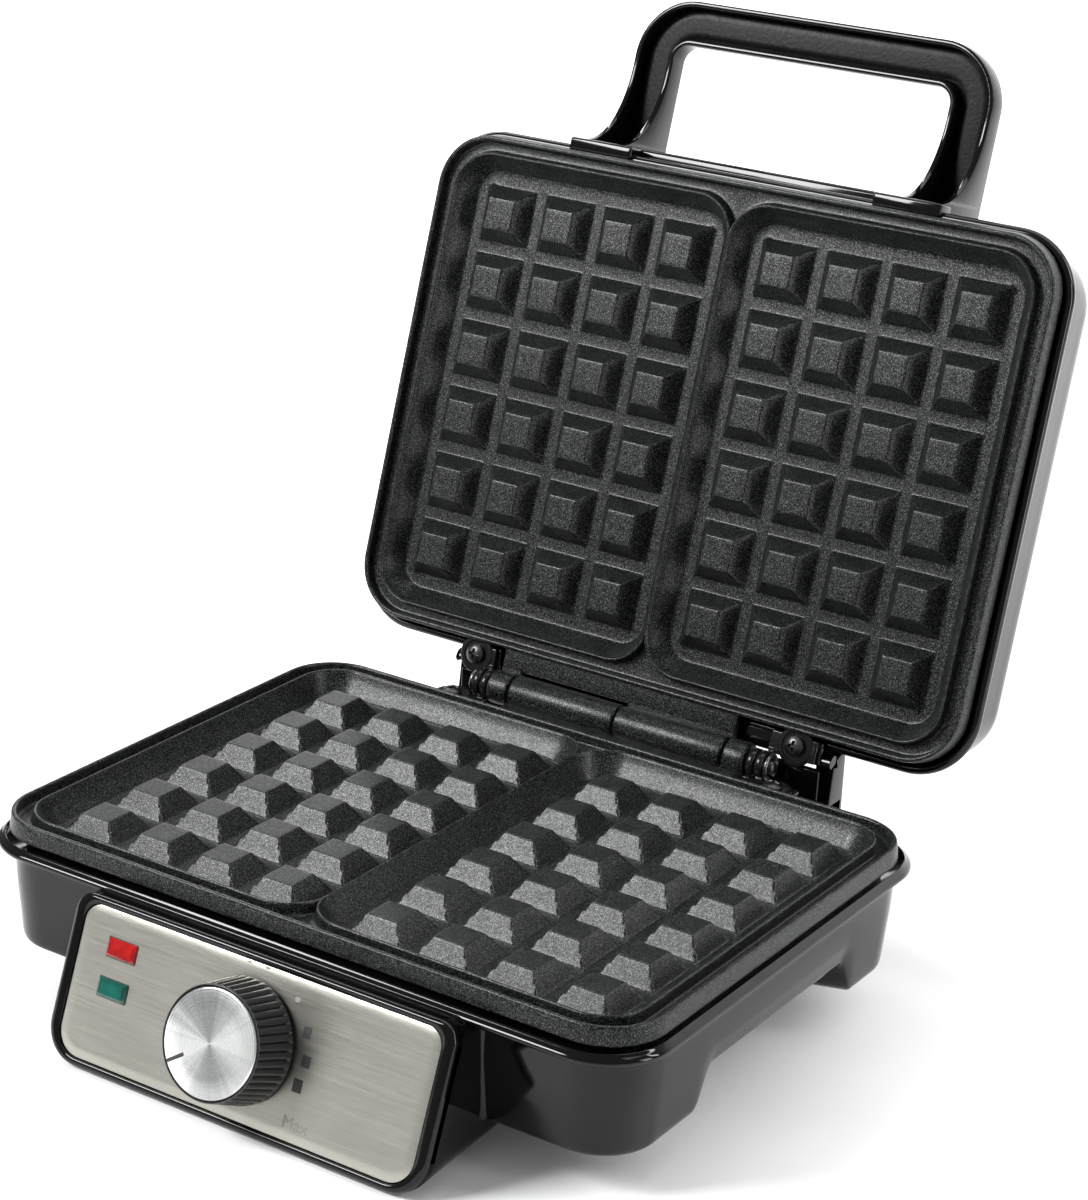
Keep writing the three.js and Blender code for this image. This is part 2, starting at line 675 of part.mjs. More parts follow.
function handleScrew(side) {
  const headSeat = -lidFlangeHalfY + lidWallOverhang + lidCentreY + wall + 1.6;
  return panScrew(3, 1.8, 1.2, 6.8).rotate([-90, 0, 0]).translate([side * handleScrewX, headSeat, handleScrewZ]);
}

// ---------------------------------------------------------------- hinge hardware
function hingeBracket(side) {
  const tabTop = hingeZ - bracketDrop;
  const eyeX0 = side > 0 ? rightKnuckleX1 + knuckleGap : -leftKnuckleX0 + knuckleGap;
  const tab = box(eyeX0, bracketScrewX + 5.6, shelfFront + gap, bracketScrewY + 4, tabTop - bracketThick, tabTop);
  const link = box(eyeX0, eyeX0 + eyeWidth, bracketScrewY + 2, hingeY, tabTop - bracketThick, tabTop);
  const body = union([tab, link, rodX(eyeRadius, eyeX0, eyeX0 + eyeWidth, hingeY, hingeZ, 20)])
    .subtract(rodZ(bracketHole, -20, 0, bracketScrewX, bracketScrewY, 12))
    .subtract(rodX(pinRadius + 0.2, 0, 100, hingeY, hingeZ, 16));
  return side > 0 ? body : body.mirror([1, 0, 0]);
}

function bracketScrew(side) {
  return panScrew(3.7, 2.2, 1.6, 8).translate([side * bracketScrewX, bracketScrewY, hingeZ - bracketDrop + 0.05]);
}

// The lid's eyes sit outside the base's eyes on the same pin.
const lidEyeShift = eyeWidth + 0.5;

function lidBracket(side) {
  const tabTop = hingeZ - bracketDrop;
  const eyeX0 = (side > 0 ? rightKnuckleX1 : -leftKnuckleX0) + knuckleGap + lidEyeShift;
  const tab = box(eyeX0, bracketScrewX + 5.6, shelfFront + gap, bracketScrewY + 4, tabTop - bracketThick, tabTop);
  const link = box(eyeX0, eyeX0 + eyeWidth, bracketScrewY + 2, hingeY, tabTop - bracketThick, tabTop);
  const body = union([tab, link, rodX(eyeRadius, eyeX0, eyeX0 + eyeWidth, hingeY, hingeZ, 20)])
    .subtract(rodZ(bracketHole, -20, 0, bracketScrewX, bracketScrewY, 12))
    .subtract(rodX(pinRadius + 0.2, 0, 100, hingeY, hingeZ, 16));
  return mirrored(side > 0 ? body : body.mirror([1, 0, 0]));
}

const pinX0 = leftKnuckleX0 - pinOverhang;
const pinX1 = rightKnuckleX1 + pinOverhang;

function pinClip(side) {
  const x = side > 0 ? pinX1 - 1.4 : pinX0 + 1.4;
  const ring = rodX(3.9, x - 0.4, x + 0.4, hingeY, hingeZ, 24)
    .subtract(rodX(pinRadius + 0.15, x - 2, x + 2, hingeY, hingeZ, 20));
  return ring.subtract(box(x - 2, x + 2, hingeY - 1.4, hingeY + 1.4, hingeZ - 8, hingeZ));
}

// ---------------------------------------------------------------- control console
const faceT = [Math.cos(rad(consoleTilt)), Math.sin(rad(consoleTilt))];
const faceN = [-Math.sin(rad(consoleTilt)), Math.cos(rad(consoleTilt))];

// YZ point of the console's face: t up the slope from the middle, h out of the panel's surface.
function facePoint(t, h) {
  return [faceY + t * faceT[0] + h * faceN[0], faceZ + t * faceT[1] + h * faceN[1]];
}

// Carries a body drawn with its face in the XY plane (+Z outward) onto the console's face.
function onFace(body, x = 0, t = 0, h = 0) {
  const [y, z] = facePoint(t, h);
  return body.rotate([consoleTilt, 0, 0]).translate([x, y, z]);
}

const recessDepth = panelThick + 0.3;
const faceInner = -recessDepth - 2.1;

function controlHousing() {
  const outline = [
    [-consoleBackTop, -consoleTop], [facePoint(faceHalf, bezelProud)[0] + 0.9, -consoleTop],
    facePoint(faceHalf - 0.8, bezelProud), facePoint(-faceHalf + 2, bezelProud), facePoint(-faceHalf + 0.4, -0.2),
    [facePoint(-faceHalf, 0)[0] + 1.6, -consoleBottom], [facePoint(-faceHalf, 0)[0] + 6, -consoleBottom + 1.6],
    [-consoleTail, -consoleBottom + 5.6], [-consoleTail, -baseBottom - 0.5],
    [-consoleBackTop, -baseBottom - 0.5],
  ];
  const inner = [
    [-consoleBackTop - 1.5, -consoleTop - consoleWall], facePoint(faceHalf - 3.2, faceInner),
    facePoint(-faceHalf + 3.4, faceInner), [facePoint(-faceHalf, 0)[0] + 8, -consoleBottom + 4.4],
    [-consoleBackTop + 2, -consoleBottom + 6.8], [-consoleBackTop + 2, -baseBottom + 2],
    [-consoleBackTop + 20, -baseBottom + 2], [-consoleBackTop + 20, flangeBottom - 4],
    [-consoleBackTop - 1.5, flangeBottom - 4],
  ];
  const plan = prism(roundedRect(consoleHalfX, 40, 5, 0, -70), -60, 0);
  let body = sideProfile(outline, -consoleHalfX, consoleHalfX).intersect(plan);
  body = body.subtract(sideProfile(inner, -consoleHalfX + consoleWall, consoleHalfX - consoleWall));
  const recess = prism(roundedRect(panelHalfX + gap, panelHalfT + gap, panelCorner + gap), -recessDepth, 5);
  body = body.subtract(onFace(recess));
  body = body.subtract(onFace(rodZ(shaftHole, -20, 5, 0, 0)));
  for (const t of [0, lensSpacing]) {
    body = body.subtract(onFace(box(-lensHalfX - 0.2, lensHalfX + 0.2, -lensHalfT - 0.2, lensHalfT + 0.2, -20, 5),
      lensX, t));
  }
  return body;
}

function controlPanel() {
  let body = prism(roundedRect(panelHalfX, panelHalfT, panelCorner), -panelThick, 0)
    .subtract(rodZ(shaftHole, -5, 5, 0, 0));
  for (const t of [0, lensSpacing]) {
    body = body.subtract(box(lensX - lensHalfX - 0.2, lensX + lensHalfX + 0.2, t - lensHalfT - 0.2,
      t + lensHalfT + 0.2, -5, 5));
  }
  return onFace(body);
}

// Bevelled lens block pushed through the panel.
function lens(t) {
  const slant = 0.9;
  const proud = 1.2;
  const body = loft([
    { z: faceInner - 0.8, halfX: lensHalfX, halfY: lensHalfT, radius: 0.3 },
    { z: proud - slant, halfX: lensHalfX, halfY: lensHalfT, radius: 0.3 },
    { z: proud, halfX: lensHalfX - slant, halfY: lensHalfT - slant, radius: 0.3 },
  ], 2);
  return onFace(body, lensX, t);
}

function neonLamp(t) {
  const top = faceInner - 1.2;
  return onFace(rodZ(2.3, top - 10, top - 1.6, 0, 0, 16).add(rodZ(2.3, top - 1.6, top, 0, 0, 16, 0.6)), lensX, t);
}

const bracketPlateTop = faceInner - 0.3;

function thermostatBracket() {
  return onFace(box(-17, 17, -9, 9, bracketPlateTop - 1, bracketPlateTop).subtract(rodZ(3.6, -20, 5, 0, 0)));
}

function thermostatBody() {
  const top = bracketPlateTop - 1.3;
  return onFace(rodZ(9.5, top - 8, top, 0, 0, 24)
    .add(box(-5, 5, 0, 13, top - 7, top - 3)));
}

function terminalBlock() {
  let body = box(-13, 13, -5.5, 5.5, 0, 9);
  for (const x of [-8.5, 0, 8.5]) {
    body = body.subtract(rodZ(2, 4, 12, x, 0, 12));
  }
  return onFace(body, 38, -2, faceInner - 0.4 - 9);
}

// ---------------------------------------------------------------- knob
function lathed(points, segments) {
  const geometry = new THREE.LatheGeometry(points.map(([r, z]) => new THREE.Vector2(r, z)), segments);
  geometry.rotateX(Math.PI / 2);
  return solid(geometry);
}

const capSeat = knobHeight - capThick;

function knobSkirt() {
  const bore = shaftRadius + gap;
  return onFace(lathed([
    [bore, knobLift], [knobRadius - 0.4, knobLift], [knobRadius, knobLift + 0.6], [knobTopRadius, knobHeight - 0.8],
    [knobTopRadius - 0.4, knobHeight - 0.4], [capRadius + gap, knobHeight - 0.4], [capRadius + gap, capSeat - gap],
    [bore, capSeat - gap], [bore, knobLift],
  ], 48));
}

function knobCap() {
  return onFace(lathed([
    [0, capSeat], [capRadius, capSeat], [capRadius, knobHeight - 0.5], [capRadius - 0.5, knobHeight],
    [0, knobHeight],
  ], 48));
}

function thermostatShaft() {
  return onFace(rodZ(shaftRadius, bracketPlateTop - 1, capSeat - gap, 0, 0, 24));
}

// ---------------------------------------------------------------- assembly
const model = new THREE.Group();
const base = new THREE.Group();
const lidPivot = new THREE.Group();
const lid = new THREE.Group();
lidPivot.position.set(0, hingeY, hingeZ);
lidPivot.rotation.x = -rad(lidOpenAngle);
lid.position.set(0, -hingeY, -hingeZ);
lidPivot.add(lid);
model.add(base, lidPivot);

base.add(
  mesh("base_shell", baseShell(), finish.gloss),
  mesh("bottom_cover", bottomCover(), finish.satin),
  mesh("lower_plate", lowerPlateBody, finish.coating),
  mesh("lower_heating_element", heatingElement(), finish.steel),
  mesh("lower_reflector", reflectorTray(), finish.aluminium),
  mesh("control_housing", controlHousing(), finish.gloss),
  mesh("control_panel", controlPanel(), finish.steel),
  mesh("power_lens_red", lens(lensSpacing), finish.red),
  mesh("ready_lens_green", lens(0), finish.green),
  mesh("power_neon_lamp", neonLamp(lensSpacing), finish.glass),
  mesh("ready_neon_lamp", neonLamp(0), finish.glass),
  mesh("thermostat_bracket", thermostatBracket(), finish.steel),
  mesh("thermostat_body", thermostatBody(), finish.ceramic),
  mesh("terminal_block", terminalBlock(), finish.ceramic),
  mesh("cord_gland", cordGland(), finish.rubber),
  mesh("hinge_pin", rodX(pinRadius, pinX0, pinX1, hingeY, hingeZ, 20), finish.steel),
);
for (const [sideName, sx] of [["left", -1], ["right", 1]]) {
  base.add(
    mesh(`base_hinge_bracket_${sideName}`, hingeBracket(sx), finish.gloss),
    mesh(`base_bracket_screw_${sideName}`, bracketScrew(sx), finish.screw),
    mesh(`pin_clip_${sideName}`, pinClip(sx), finish.steel),
    mesh(`lower_plate_screw_${sideName}`, plateScrew(sx), finish.screw),
  );
  for (const [endName, sy] of [["front", -1], ["rear", 1]]) {
    base.add(
      mesh(`foot_pad_${endName}_${sideName}`, footPad(sx, sy), finish.rubber),
      mesh(`cover_screw_${endName}_${sideName}`, coverScrew(sx, sy), finish.screw),
    );
  }
  lid.add(
    mesh(`lid_hinge_bracket_${sideName}`, lidBracket(sx), finish.gloss),
    mesh(`lid_bracket_screw_${sideName}`, mirrored(bracketScrew(sx)), finish.screw),
    mesh(`upper_plate_screw_${sideName}`, mirrored(plateScrew(sx)), finish.screw),
    mesh(`handle_screw_${sideName}`, handleScrew(sx), finish.screw),
  );
}
lid.add(
  mesh("lid_shell", lidShell(), finish.gloss),
  mesh("upper_plate", upperPlateBody, finish.coating),
  mesh("upper_heating_element", mirrored(heatingElement()), finish.steel),
  mesh("upper_reflector", mirrored(reflectorTray()), finish.aluminium),
  mesh("thermal_fuse", rodX(2, -9, 9, 20, reflectorDepth + 4.5, 16), finish.ceramic),
  mesh("handle_shell", handleShell(), finish.gloss),
  mesh("handle_grip_cover", handleGripCover(), finish.satin),
);
model.add(
  mesh("knob_skirt", knobSkirt(), finish.satin),
  mesh("knob_cap", knobCap(), finish.aluminium),
  mesh("thermostat_shaft", thermostatShaft(), finish.steel),
);

// Origin at the middle of the object's box, on the surface it stands on.
model.updateMatrixWorld(true);
const bounds = new THREE.Box3().setFromObject(model, true);
const centre = bounds.getCenter(new THREE.Vector3());
model.position.set(-centre.x, -centre.y, -bounds.min.z);

export default model;
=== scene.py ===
"""Looks of an open waffle maker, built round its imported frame.

Shapes are worked out in millimetres in a working frame whose z = 0 is the rim of the lower cooking plate and
whose x = y = 0 is the middle of that plate. The lid's pieces are worked out closed, above that plate, and
then turned open about the hinge. place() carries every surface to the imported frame, in metres.
"""
import math

import bmesh
import bpy
import numpy as np
from mathutils import Matrix, Vector


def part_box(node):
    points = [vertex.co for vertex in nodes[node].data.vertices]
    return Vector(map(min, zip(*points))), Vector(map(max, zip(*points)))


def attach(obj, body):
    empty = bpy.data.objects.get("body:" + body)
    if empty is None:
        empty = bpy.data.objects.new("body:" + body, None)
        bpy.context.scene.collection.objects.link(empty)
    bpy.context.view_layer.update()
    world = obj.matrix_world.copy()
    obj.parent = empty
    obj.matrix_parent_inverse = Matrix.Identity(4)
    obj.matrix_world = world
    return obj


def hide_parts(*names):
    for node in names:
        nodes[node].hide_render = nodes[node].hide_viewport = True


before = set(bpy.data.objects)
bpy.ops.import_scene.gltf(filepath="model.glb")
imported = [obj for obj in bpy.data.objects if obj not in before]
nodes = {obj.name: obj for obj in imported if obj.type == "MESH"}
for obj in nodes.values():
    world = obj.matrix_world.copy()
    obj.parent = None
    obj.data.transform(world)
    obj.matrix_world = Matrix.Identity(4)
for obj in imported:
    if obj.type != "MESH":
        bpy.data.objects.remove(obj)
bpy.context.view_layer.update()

# ---------------------------------------------------------------------------------------------- frames
plate_low, plate_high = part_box("lower_plate")
HINGE_Y, HINGE_Z = 89.2, 0.3
BARREL = 5.3
ORIGIN = np.array([0.0, plate_low.y * 1000 + 77.7, plate_high.z * 1000 - (HINGE_Z + BARREL)])
OPEN = math.radians(106.4)
FACE_TILT = math.radians(70)
FACE_Y, FACE_Z = -94.5, -28.3
MERGE = 0.004
SIDES = (("left", -1), ("right", 1))


def place(points):
    """Working millimetres to packed metres: add the frame's origin, divide by a thousand."""
    return (points + ORIGIN) / 1000.0


def opened(points):
    """Turns points of the closed lid about the hinge line by the open angle."""
    y, z = points[..., 1] - HINGE_Y, points[..., 2] - HINGE_Z
    c, s = math.cos(-OPEN), math.sin(-OPEN)
    return np.stack([points[..., 0], HINGE_Y + y * c - z * s, HINGE_Z + y * s + z * c], -1)


def flipped(points):
    """Mirrors a base shape up through the hinge's height, into the closed lid."""
    return points * [1, 1, -1] + [0, 0, 2 * HINGE_Z]


def on_face(points):
    """Points drawn with x across, y up the console's slope and z out of it, carried onto that slope."""
    t, h = points[..., 1], points[..., 2]
    c, s = math.cos(FACE_TILT), math.sin(FACE_TILT)
    return np.stack([points[..., 0], FACE_Y + t * c - h * s, FACE_Z + t * s + h * c], -1)


# -------------------------------------------------------------------------------------------- surfaces
def add_object(name, data):
    """Puts a new object that holds this mesh, text, light or camera into the scene."""
    made = bpy.data.objects.new(name, data)
    bpy.context.scene.collection.objects.link(made)
    return made


def piece(name, grids, body, replaced, material, sharp=50, hips=False):
    """One mesh from grids of points: neighbours in a grid make quads, coincident points are merged.

    hips cuts each quad along its longer diagonal, which runs down the sloping edges between stud faces.
    """
    points, faces, start = [], [], 0
    for g in grids:
        rows, columns = g.shape[:2]
        index = start + np.arange(rows * columns).reshape(rows, columns)
        quads = np.stack([index[:-1, :-1], index[:-1, 1:], index[1:, 1:], index[1:, :-1]], -1)
        points.append(g.reshape(-1, 3))
        faces.append(quads.reshape(-1, 4))
        start += rows * columns
    mesh = bpy.data.meshes.new(name)
    mesh.from_pydata(place(np.concatenate(points)).tolist(), [], np.concatenate(faces).tolist())
    work = bmesh.new()
    work.from_mesh(mesh)
    bmesh.ops.remove_doubles(work, verts=work.verts, dist=MERGE / 1000)
    bmesh.ops.dissolve_degenerate(work, dist=1e-6, edges=work.edges)
    if hips:
        bmesh.ops.triangulate(work, faces=work.faces, quad_method="LONG_EDGE")
    bmesh.ops.recalc_face_normals(work, faces=work.faces)
    work.to_mesh(mesh)
    work.free()
    mesh.polygons.foreach_set("use_smooth", np.ones(len(mesh.polygons), bool))
    mesh.set_sharp_from_angle(angle=math.radians(sharp))
    mesh.materials.append(material)
    made = add_object(name, mesh)
    if replaced:
        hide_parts(*replaced)
    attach(made, body)


def closed(g):
    """Repeats a grid's first column after its last, so that the rings join."""
    return np.concatenate([g, g[:, :1]], 1)


def capped(g, first=True, last=True):
    """Adds a row at the middle of the first and last rings, which closes a tube's ends."""
    parts = [g]
    if first:
        parts.insert(0, np.broadcast_to(g[:1].mean(1, keepdims=True), g[:1].shape))
    if last:
        parts.append(np.broadcast_to(g[-1:].mean(1, keepdims=True), g[-1:].shape))
    return np.concatenate(parts, 0)


def round_box(low, high, r, steps=4):
    """A rounded box: the octants of a small sphere pushed apart to the box's inner corners."""
    low, high = np.array(low, float), np.array(high, float)
    centre, half = (low + high) / 2, (high - low) / 2 - r
    quadrant = np.linspace(0, math.pi / 2, steps + 1)
    around = np.concatenate([quadrant + k * math.pi / 2 for k in range(4)])
    side_x = np.repeat([1, -1, -1, 1], steps + 1)
    side_y = np.repeat([1, 1, -1, -1], steps + 1)
    up = np.concatenate([quadrant - math.pi / 2, quadrant])
    side_z = np.repeat([-1, 1], steps + 1)
    u, v = around[None, :], up[:, None]
    x = side_x[None, :] * half[0] + r * np.cos(v) * np.cos(u)
    y = side_y[None, :] * half[1] + r * np.cos(v) * np.sin(u)
    z = side_z[:, None] * half[2] + r * np.sin(v) + 0 * u
    return capped(closed(np.stack([x, y, z], -1) + centre))


def turned(profile, segments=48, wave=None):
    """A profile of (radius, height) pairs turned about z; wave gives what is added to the radius."""
    profile = np.array(profile, float)
    angle = np.linspace(0, 2 * math.pi, segments + 1)
    radius = profile[:, :1] * np.ones_like(angle)[None, :]
    if wave is not None:
        radius = radius + wave(profile, angle)
    z = profile[:, 1:] * np.ones_like(angle)[None, :]
    return np.stack([radius * np.cos(angle), radius * np.sin(angle), z], -1)


def along_x(points, y, z):
    """Lays a shape turned about z down along x: its heights become x, and y and z are its axis."""
    return np.stack([points[..., 2], points[..., 0] + y, points[..., 1] + z], -1)


def tube(path, radius, sides=12):
    """A round wire along a path: circles in the plane across the path's direction at each point."""
    path = np.array(path, float)
    along = np.gradient(path, axis=0)
    along /= np.linalg.norm(along, axis=1, keepdims=True)
    helper = np.where(np.abs(along[:, :1]) > 0.9, [[0.0, 1.0, 0.0]], [[1.0, 0.0, 0.0]])
    side = np.cross(along, helper)
    side /= np.linalg.norm(side, axis=1, keepdims=True)
    other = np.cross(along, side)
    angle = np.linspace(0, 2 * math.pi, sides + 1)[None, :, None]
    return capped(path[:, None] + radius * (side[:, None] * np.cos(angle) + other[:, None] * np.sin(angle)))


def outline(half_x, half_y, radius, centre_y=0.0, corner=14, along=(60, 60)):
    """Points round a rounded rectangle, anticlockwise from the right side's lower end."""
    radii = radius if isinstance(radius, (tuple, list)) else (radius,) * 4
    points = []
    for k, (sx, sy) in enumerate([(1, 1), (-1, 1), (-1, -1), (1, -1)]):
        r = radii[k]
        angle = k * math.pi / 2 + np.linspace(0, math.pi / 2, corner + 1)
        arc = np.stack([sx * (half_x - r) + r * np.cos(angle), sy * (half_y - r) + r * np.sin(angle)], -1)
        previous = (k - 1) % 4
        rp = radii[previous]
        px, py = [(1, 1), (-1, 1), (-1, -1), (1, -1)][previous]
        last = np.array([px * (half_x - rp) + rp * math.cos(k * math.pi / 2),
                         py * (half_y - rp) + rp * math.sin(k * math.pi / 2)])
        n = along[0] if k % 2 == 0 else along[1]
        share = np.linspace(0, 1, n + 1)[1:-1, None]
        points += [last * (1 - share) + arc[0] * share, arc]
    return np.concatenate(points) + [0, centre_y]


def outward(points):
    """Unit normals of a closed anticlockwise outline."""
    step = np.roll(points, -1, 0) - np.roll(points, 1, 0)
    normal = np.stack([step[:, 1], -step[:, 0]], -1)
    return normal / np.linalg.norm(normal, axis=1, keepdims=True)


def rings(rows):
    """Stacks outlines: each row is (outline, offset outwards, height), and makes one ring of the surface."""
    made = []
    for ring, offset, height in rows:
        flat = ring + outward(ring) * offset
        made.append(np.concatenate([flat, np.broadcast_to(height, (len(flat),))[:, None]], 1))
    return closed(np.stack(made))


# ---------------------------------------------------------------------------------------- shader maths
class Link:
    """A socket in a material: sums and products of it add Math nodes."""

    def __init__(self, look, socket):
        self.look, self.socket = look, socket

    def _math(self, operation, *values):
        return self.look.node("ShaderNodeMath", {"operation": operation}, dict(enumerate(values)))

    def __add__(self, other):
        return self._math("ADD", self, other)

    def __mul__(self, other):
        return self._math("MULTIPLY", self, other)

    __radd__, __rmul__ = __add__, __mul__

    def sine(self):
        return self._math("SINE", self)

    def root(self):
        return self._math("SQRT", self)


class Look:
    """A material under construction: one Principled shader and the nodes that feed it."""

    def __init__(self, name, **constants):
        self.material = bpy.data.materials.new(name)
        self.material.use_nodes = True
        self.tree = self.material.node_tree
        self.shader = self.tree.nodes["Principled BSDF"]
        for socket, value in constants.items():
            target = self.shader.inputs[socket.replace("_", " ")]
            target.default_value = (*value, 1) if isinstance(value, tuple) and len(value) == 3 else value

    def node(self, kind, settings, values, output=0):
        """Any node: its settings first, then a value or a link for each named socket."""
        made = self.tree.nodes.new(kind)
        for key, value in settings.items():
            if key == "stops":
                ramp = made.color_ramp
                while len(ramp.elements) < len(value):
                    ramp.elements.new(0.5)
                for element, (position, colour) in zip(ramp.elements, value):
                    element.position = position
                    element.color = (*colour, 1) if len(colour) == 3 else colour
            else:
                setattr(made, key, value)
        for key, value in values.items():
            if isinstance(value, Link):
                self.tree.links.new(value.socket, made.inputs[key])
            elif isinstance(value, tuple) and len(value) == 3 and made.inputs[key].type == "RGBA":
                made.inputs[key].default_value = (*value, 1)
            else:
                made.inputs[key].default_value = value
        return Link(self, made.outputs[output])

    def place(self, scale=(1, 1, 1), turn=(0, 0, 0)):
        """The surface point in object space, stretched and turned for the pattern."""
        where = self.node("ShaderNodeTexCoord", {}, {}, "Object")
        return self.node("ShaderNodeMapping", {}, {"Vector": where, "Scale": scale, "Rotation": turn})

    def noise(self, where, scale, detail=2.0, rough=0.5):
        """Cloudy noise from 0 to 1, scale grains to the metre."""
        return self.node("ShaderNodeTexNoise", {}, {"Vector": where, "Scale": scale, "Detail": detail,
                                                     "Roughness": rough})

    def ramp(self, value, *stops):
        """A colour for each value, run between (value, colour) stops."""
        return self.node("ShaderNodeValToRGB", {"stops": stops}, {"Fac": value})

    def span(self, value, low, high, to_low=0.0, to_high=1.0):
        """low..high carried to to_low..to_high and held at both ends."""
        return self.node("ShaderNodeMapRange", {"clamp": True}, {
            "Value": value, "From Min": low, "From Max": high, "To Min": to_low, "To Max": to_high})

    def blend(self, share, first, second):
        """Two colours mixed by a share from 0 to 1, through the Mix node's colour sockets."""
        return self.node("ShaderNodeMix", {"data_type": "RGBA"}, {0: share, 6: first, 7: second}, 2)

    def bump(self, height, distance, strength=1.0):
        """A tilted normal from a height from 0 to 1 that stands for distance metres."""
        return self.node("ShaderNodeBump", {}, {"Height": height, "Distance": distance, "Strength": strength})

    def feed(self, **links):
        """Joins the results to the shader's sockets and hands back the material."""
        for socket, value in links.items():
            self.tree.links.new(value.socket, self.shader.inputs[socket.replace("_", " ")])
        return self.material


def moulded_gloss(name, tone, low, high):
    """Polished moulding: near-black with faint clouding, and gloss that wavers over the surface."""
    look = Look(name, IOR=1.36)
    where = look.place()
    cloud = look.noise(where, 22, 3)
    fine = look.noise(where, 900, 2)
    colour = look.ramp(cloud, (0.3, tone), (0.75, tuple(c * 1.5 + 0.001 for c in tone)))
    gloss = look.span(cloud * 0.7 + fine * 0.3, 0.3, 0.7, low, high)
    ripple = look.bump(cloud, 0.0006, 0.25)
    return look.feed(Base_Color=colour, Roughness=gloss, Normal=ripple)


def nonstick():
    """Sprayed non-stick coating: charcoal, pebbled at a third of a millimetre, with paler grains."""
    look = Look("nonstick_coating", IOR=1.42)
    where = look.place()
    grain = look.noise(where, 2700, 2, 0.65)
    coarse = look.noise(where, 900, 2, 0.55)
    patch = look.noise(where, 14, 2)
    body = look.ramp(grain, (0.44, (0.0012, 0.0016, 0.0015)), (0.55, (0.008, 0.0092, 0.009)),
                     (0.7, (0.13, 0.138, 0.135)))
    colour = look.blend(look.span(patch, 0.3, 0.7, 0.0, 0.3), body, (0.006, 0.0068, 0.0067))
    shade = look.ramp(grain, (0.4, (0.68, 0.68, 0.68)), (0.57, (0.04, 0.04, 0.04)), (0.72, (0.3, 0.3, 0.3)))
    gloss = look.span(grain * 0.5 + coarse * 0.5, 0.32, 0.68, 0.28, 0.44)
    return look.feed(Base_Color=colour, Roughness=gloss, Metallic=shade,
                     Normal=look.bump(coarse, 0.00006, 0.4))


def brushed_panel():
    """Brushed sheet: streaks a centimetre long across x and a seventh of a millimetre apart."""
    look = Look("brushed_panel_steel")
    fine = look.noise(look.place((90, 6500, 6500)), 1.0, 3, 0.75)
    broad = look.noise(look.place((14, 1500, 1500)), 1.0, 2)
    cloud = look.noise(look.place(), 16, 2)
    streak = fine * 0.7 + broad * 0.3
    colour = look.ramp(streak * 0.7 + cloud * 0.3, (0.32, (0.315, 0.305, 0.27)), (0.68, (0.475, 0.46, 0.42)))
    gloss = look.span(streak, 0.3, 0.7, 0.27, 0.37)
    metal = look.span(cloud, 0.0, 1.0, 0.96, 1.0)
    return look.feed(Base_Color=colour, Roughness=gloss, Metallic=metal,
                     Normal=look.bump(streak, 0.00004, 0.45))


def spun_cap():
    """Face-turned aluminium: grooves set by the distance from the knob's axis; painted highlights in the
    colour, bright and dark sectors set by the angle round it, stand for the sheen of the turning.
    """
    look = Look("spun_cap_aluminium")
    centre = place(on_face(np.array([[0.0, 0.0, 14.6]])))[0]
    flat = look.place((1, 1, 1), (-FACE_TILT, 0, 0))
    middle = Matrix.Rotation(-FACE_TILT, 3, "X") @ Vector(centre)
    away = look.node("ShaderNodeVectorMath", {"operation": "SUBTRACT"}, {0: flat, 1: tuple(middle)})
    x, y = (look.node("ShaderNodeSeparateXYZ", {}, {0: away}, axis) for axis in (0, 1))
    radius = (x * x + y * y).root()
    groove = look.node("ShaderNodeTexNoise", {"noise_dimensions": "1D"},
                       {"W": radius, "Scale": 5200, "Detail": 2.0, "Roughness": 0.7})
    turn = look.node("ShaderNodeMath", {"operation": "ARCTAN2"}, {0: y, 1: x})
    painted_sector_sheen = look.node("ShaderNodeTexNoise", {"noise_dimensions": "1D"},
                       {"W": turn, "Scale": 5.0, "Detail": 3.0})
    # painted highlight: sectors of pale and dark colour round the axis stand for the sheen of the turned face
    painted_highlight_fan = (turn * 2 + 0.9).sine()
    tone = painted_highlight_fan * 0.4 + painted_sector_sheen * 0.5 + 0.3
    colour = look.ramp(tone, (0.1, (0.36, 0.36, 0.365)), (0.55, (0.66, 0.66, 0.67)),
                       (0.9, (0.98, 0.98, 0.98)))
    gloss = look.span(groove, 0.3, 0.7, 0.2, 0.34)
    return look.feed(Base_Color=colour, Roughness=gloss, Metallic=look.span(groove, 0.0, 1.0, 0.94, 1.0),
                     Normal=look.bump(groove, 0.00002, 0.4))


def plain_metal(name, dark, pale, low, high, scale=260):
    """Plated or bare steel with fine mottling in tone and gloss."""
    look = Look(name)
    where = look.place()
    mottle = look.noise(where, scale, 3, 0.6)
    broad = look.noise(where, 45, 2)
    colour = look.ramp(mottle * 0.5 + broad * 0.5, (0.35, dark), (0.65, pale))
    return look.feed(Base_Color=colour, Roughness=look.span(mottle, 0.3, 0.7, low, high),
                     Metallic=look.span(broad, 0.0, 1.0, 0.94, 1.0), Normal=look.bump(mottle, 0.00003, 0.4))


def matt_moulding(name, tone, low, high, grain=900, depth=0.00006, ior=1.48):
    """Satin or matt moulding, or rubber: fine grain in height and gloss over a cloudy tone."""
    look = Look(name, IOR=ior)
    where = look.place()
    speck = look.noise(where, grain, 2, 0.6)
    cloud = look.noise(where, 30, 2)
    colour = look.ramp(cloud * 0.6 + speck * 0.4, (0.35, tone), (0.7, tuple(c * 1.6 for c in tone)))
    return look.feed(Base_Color=colour, Roughness=look.span(speck, 0.3, 0.7, low, high),
                     Normal=look.bump(speck, depth, 0.6))


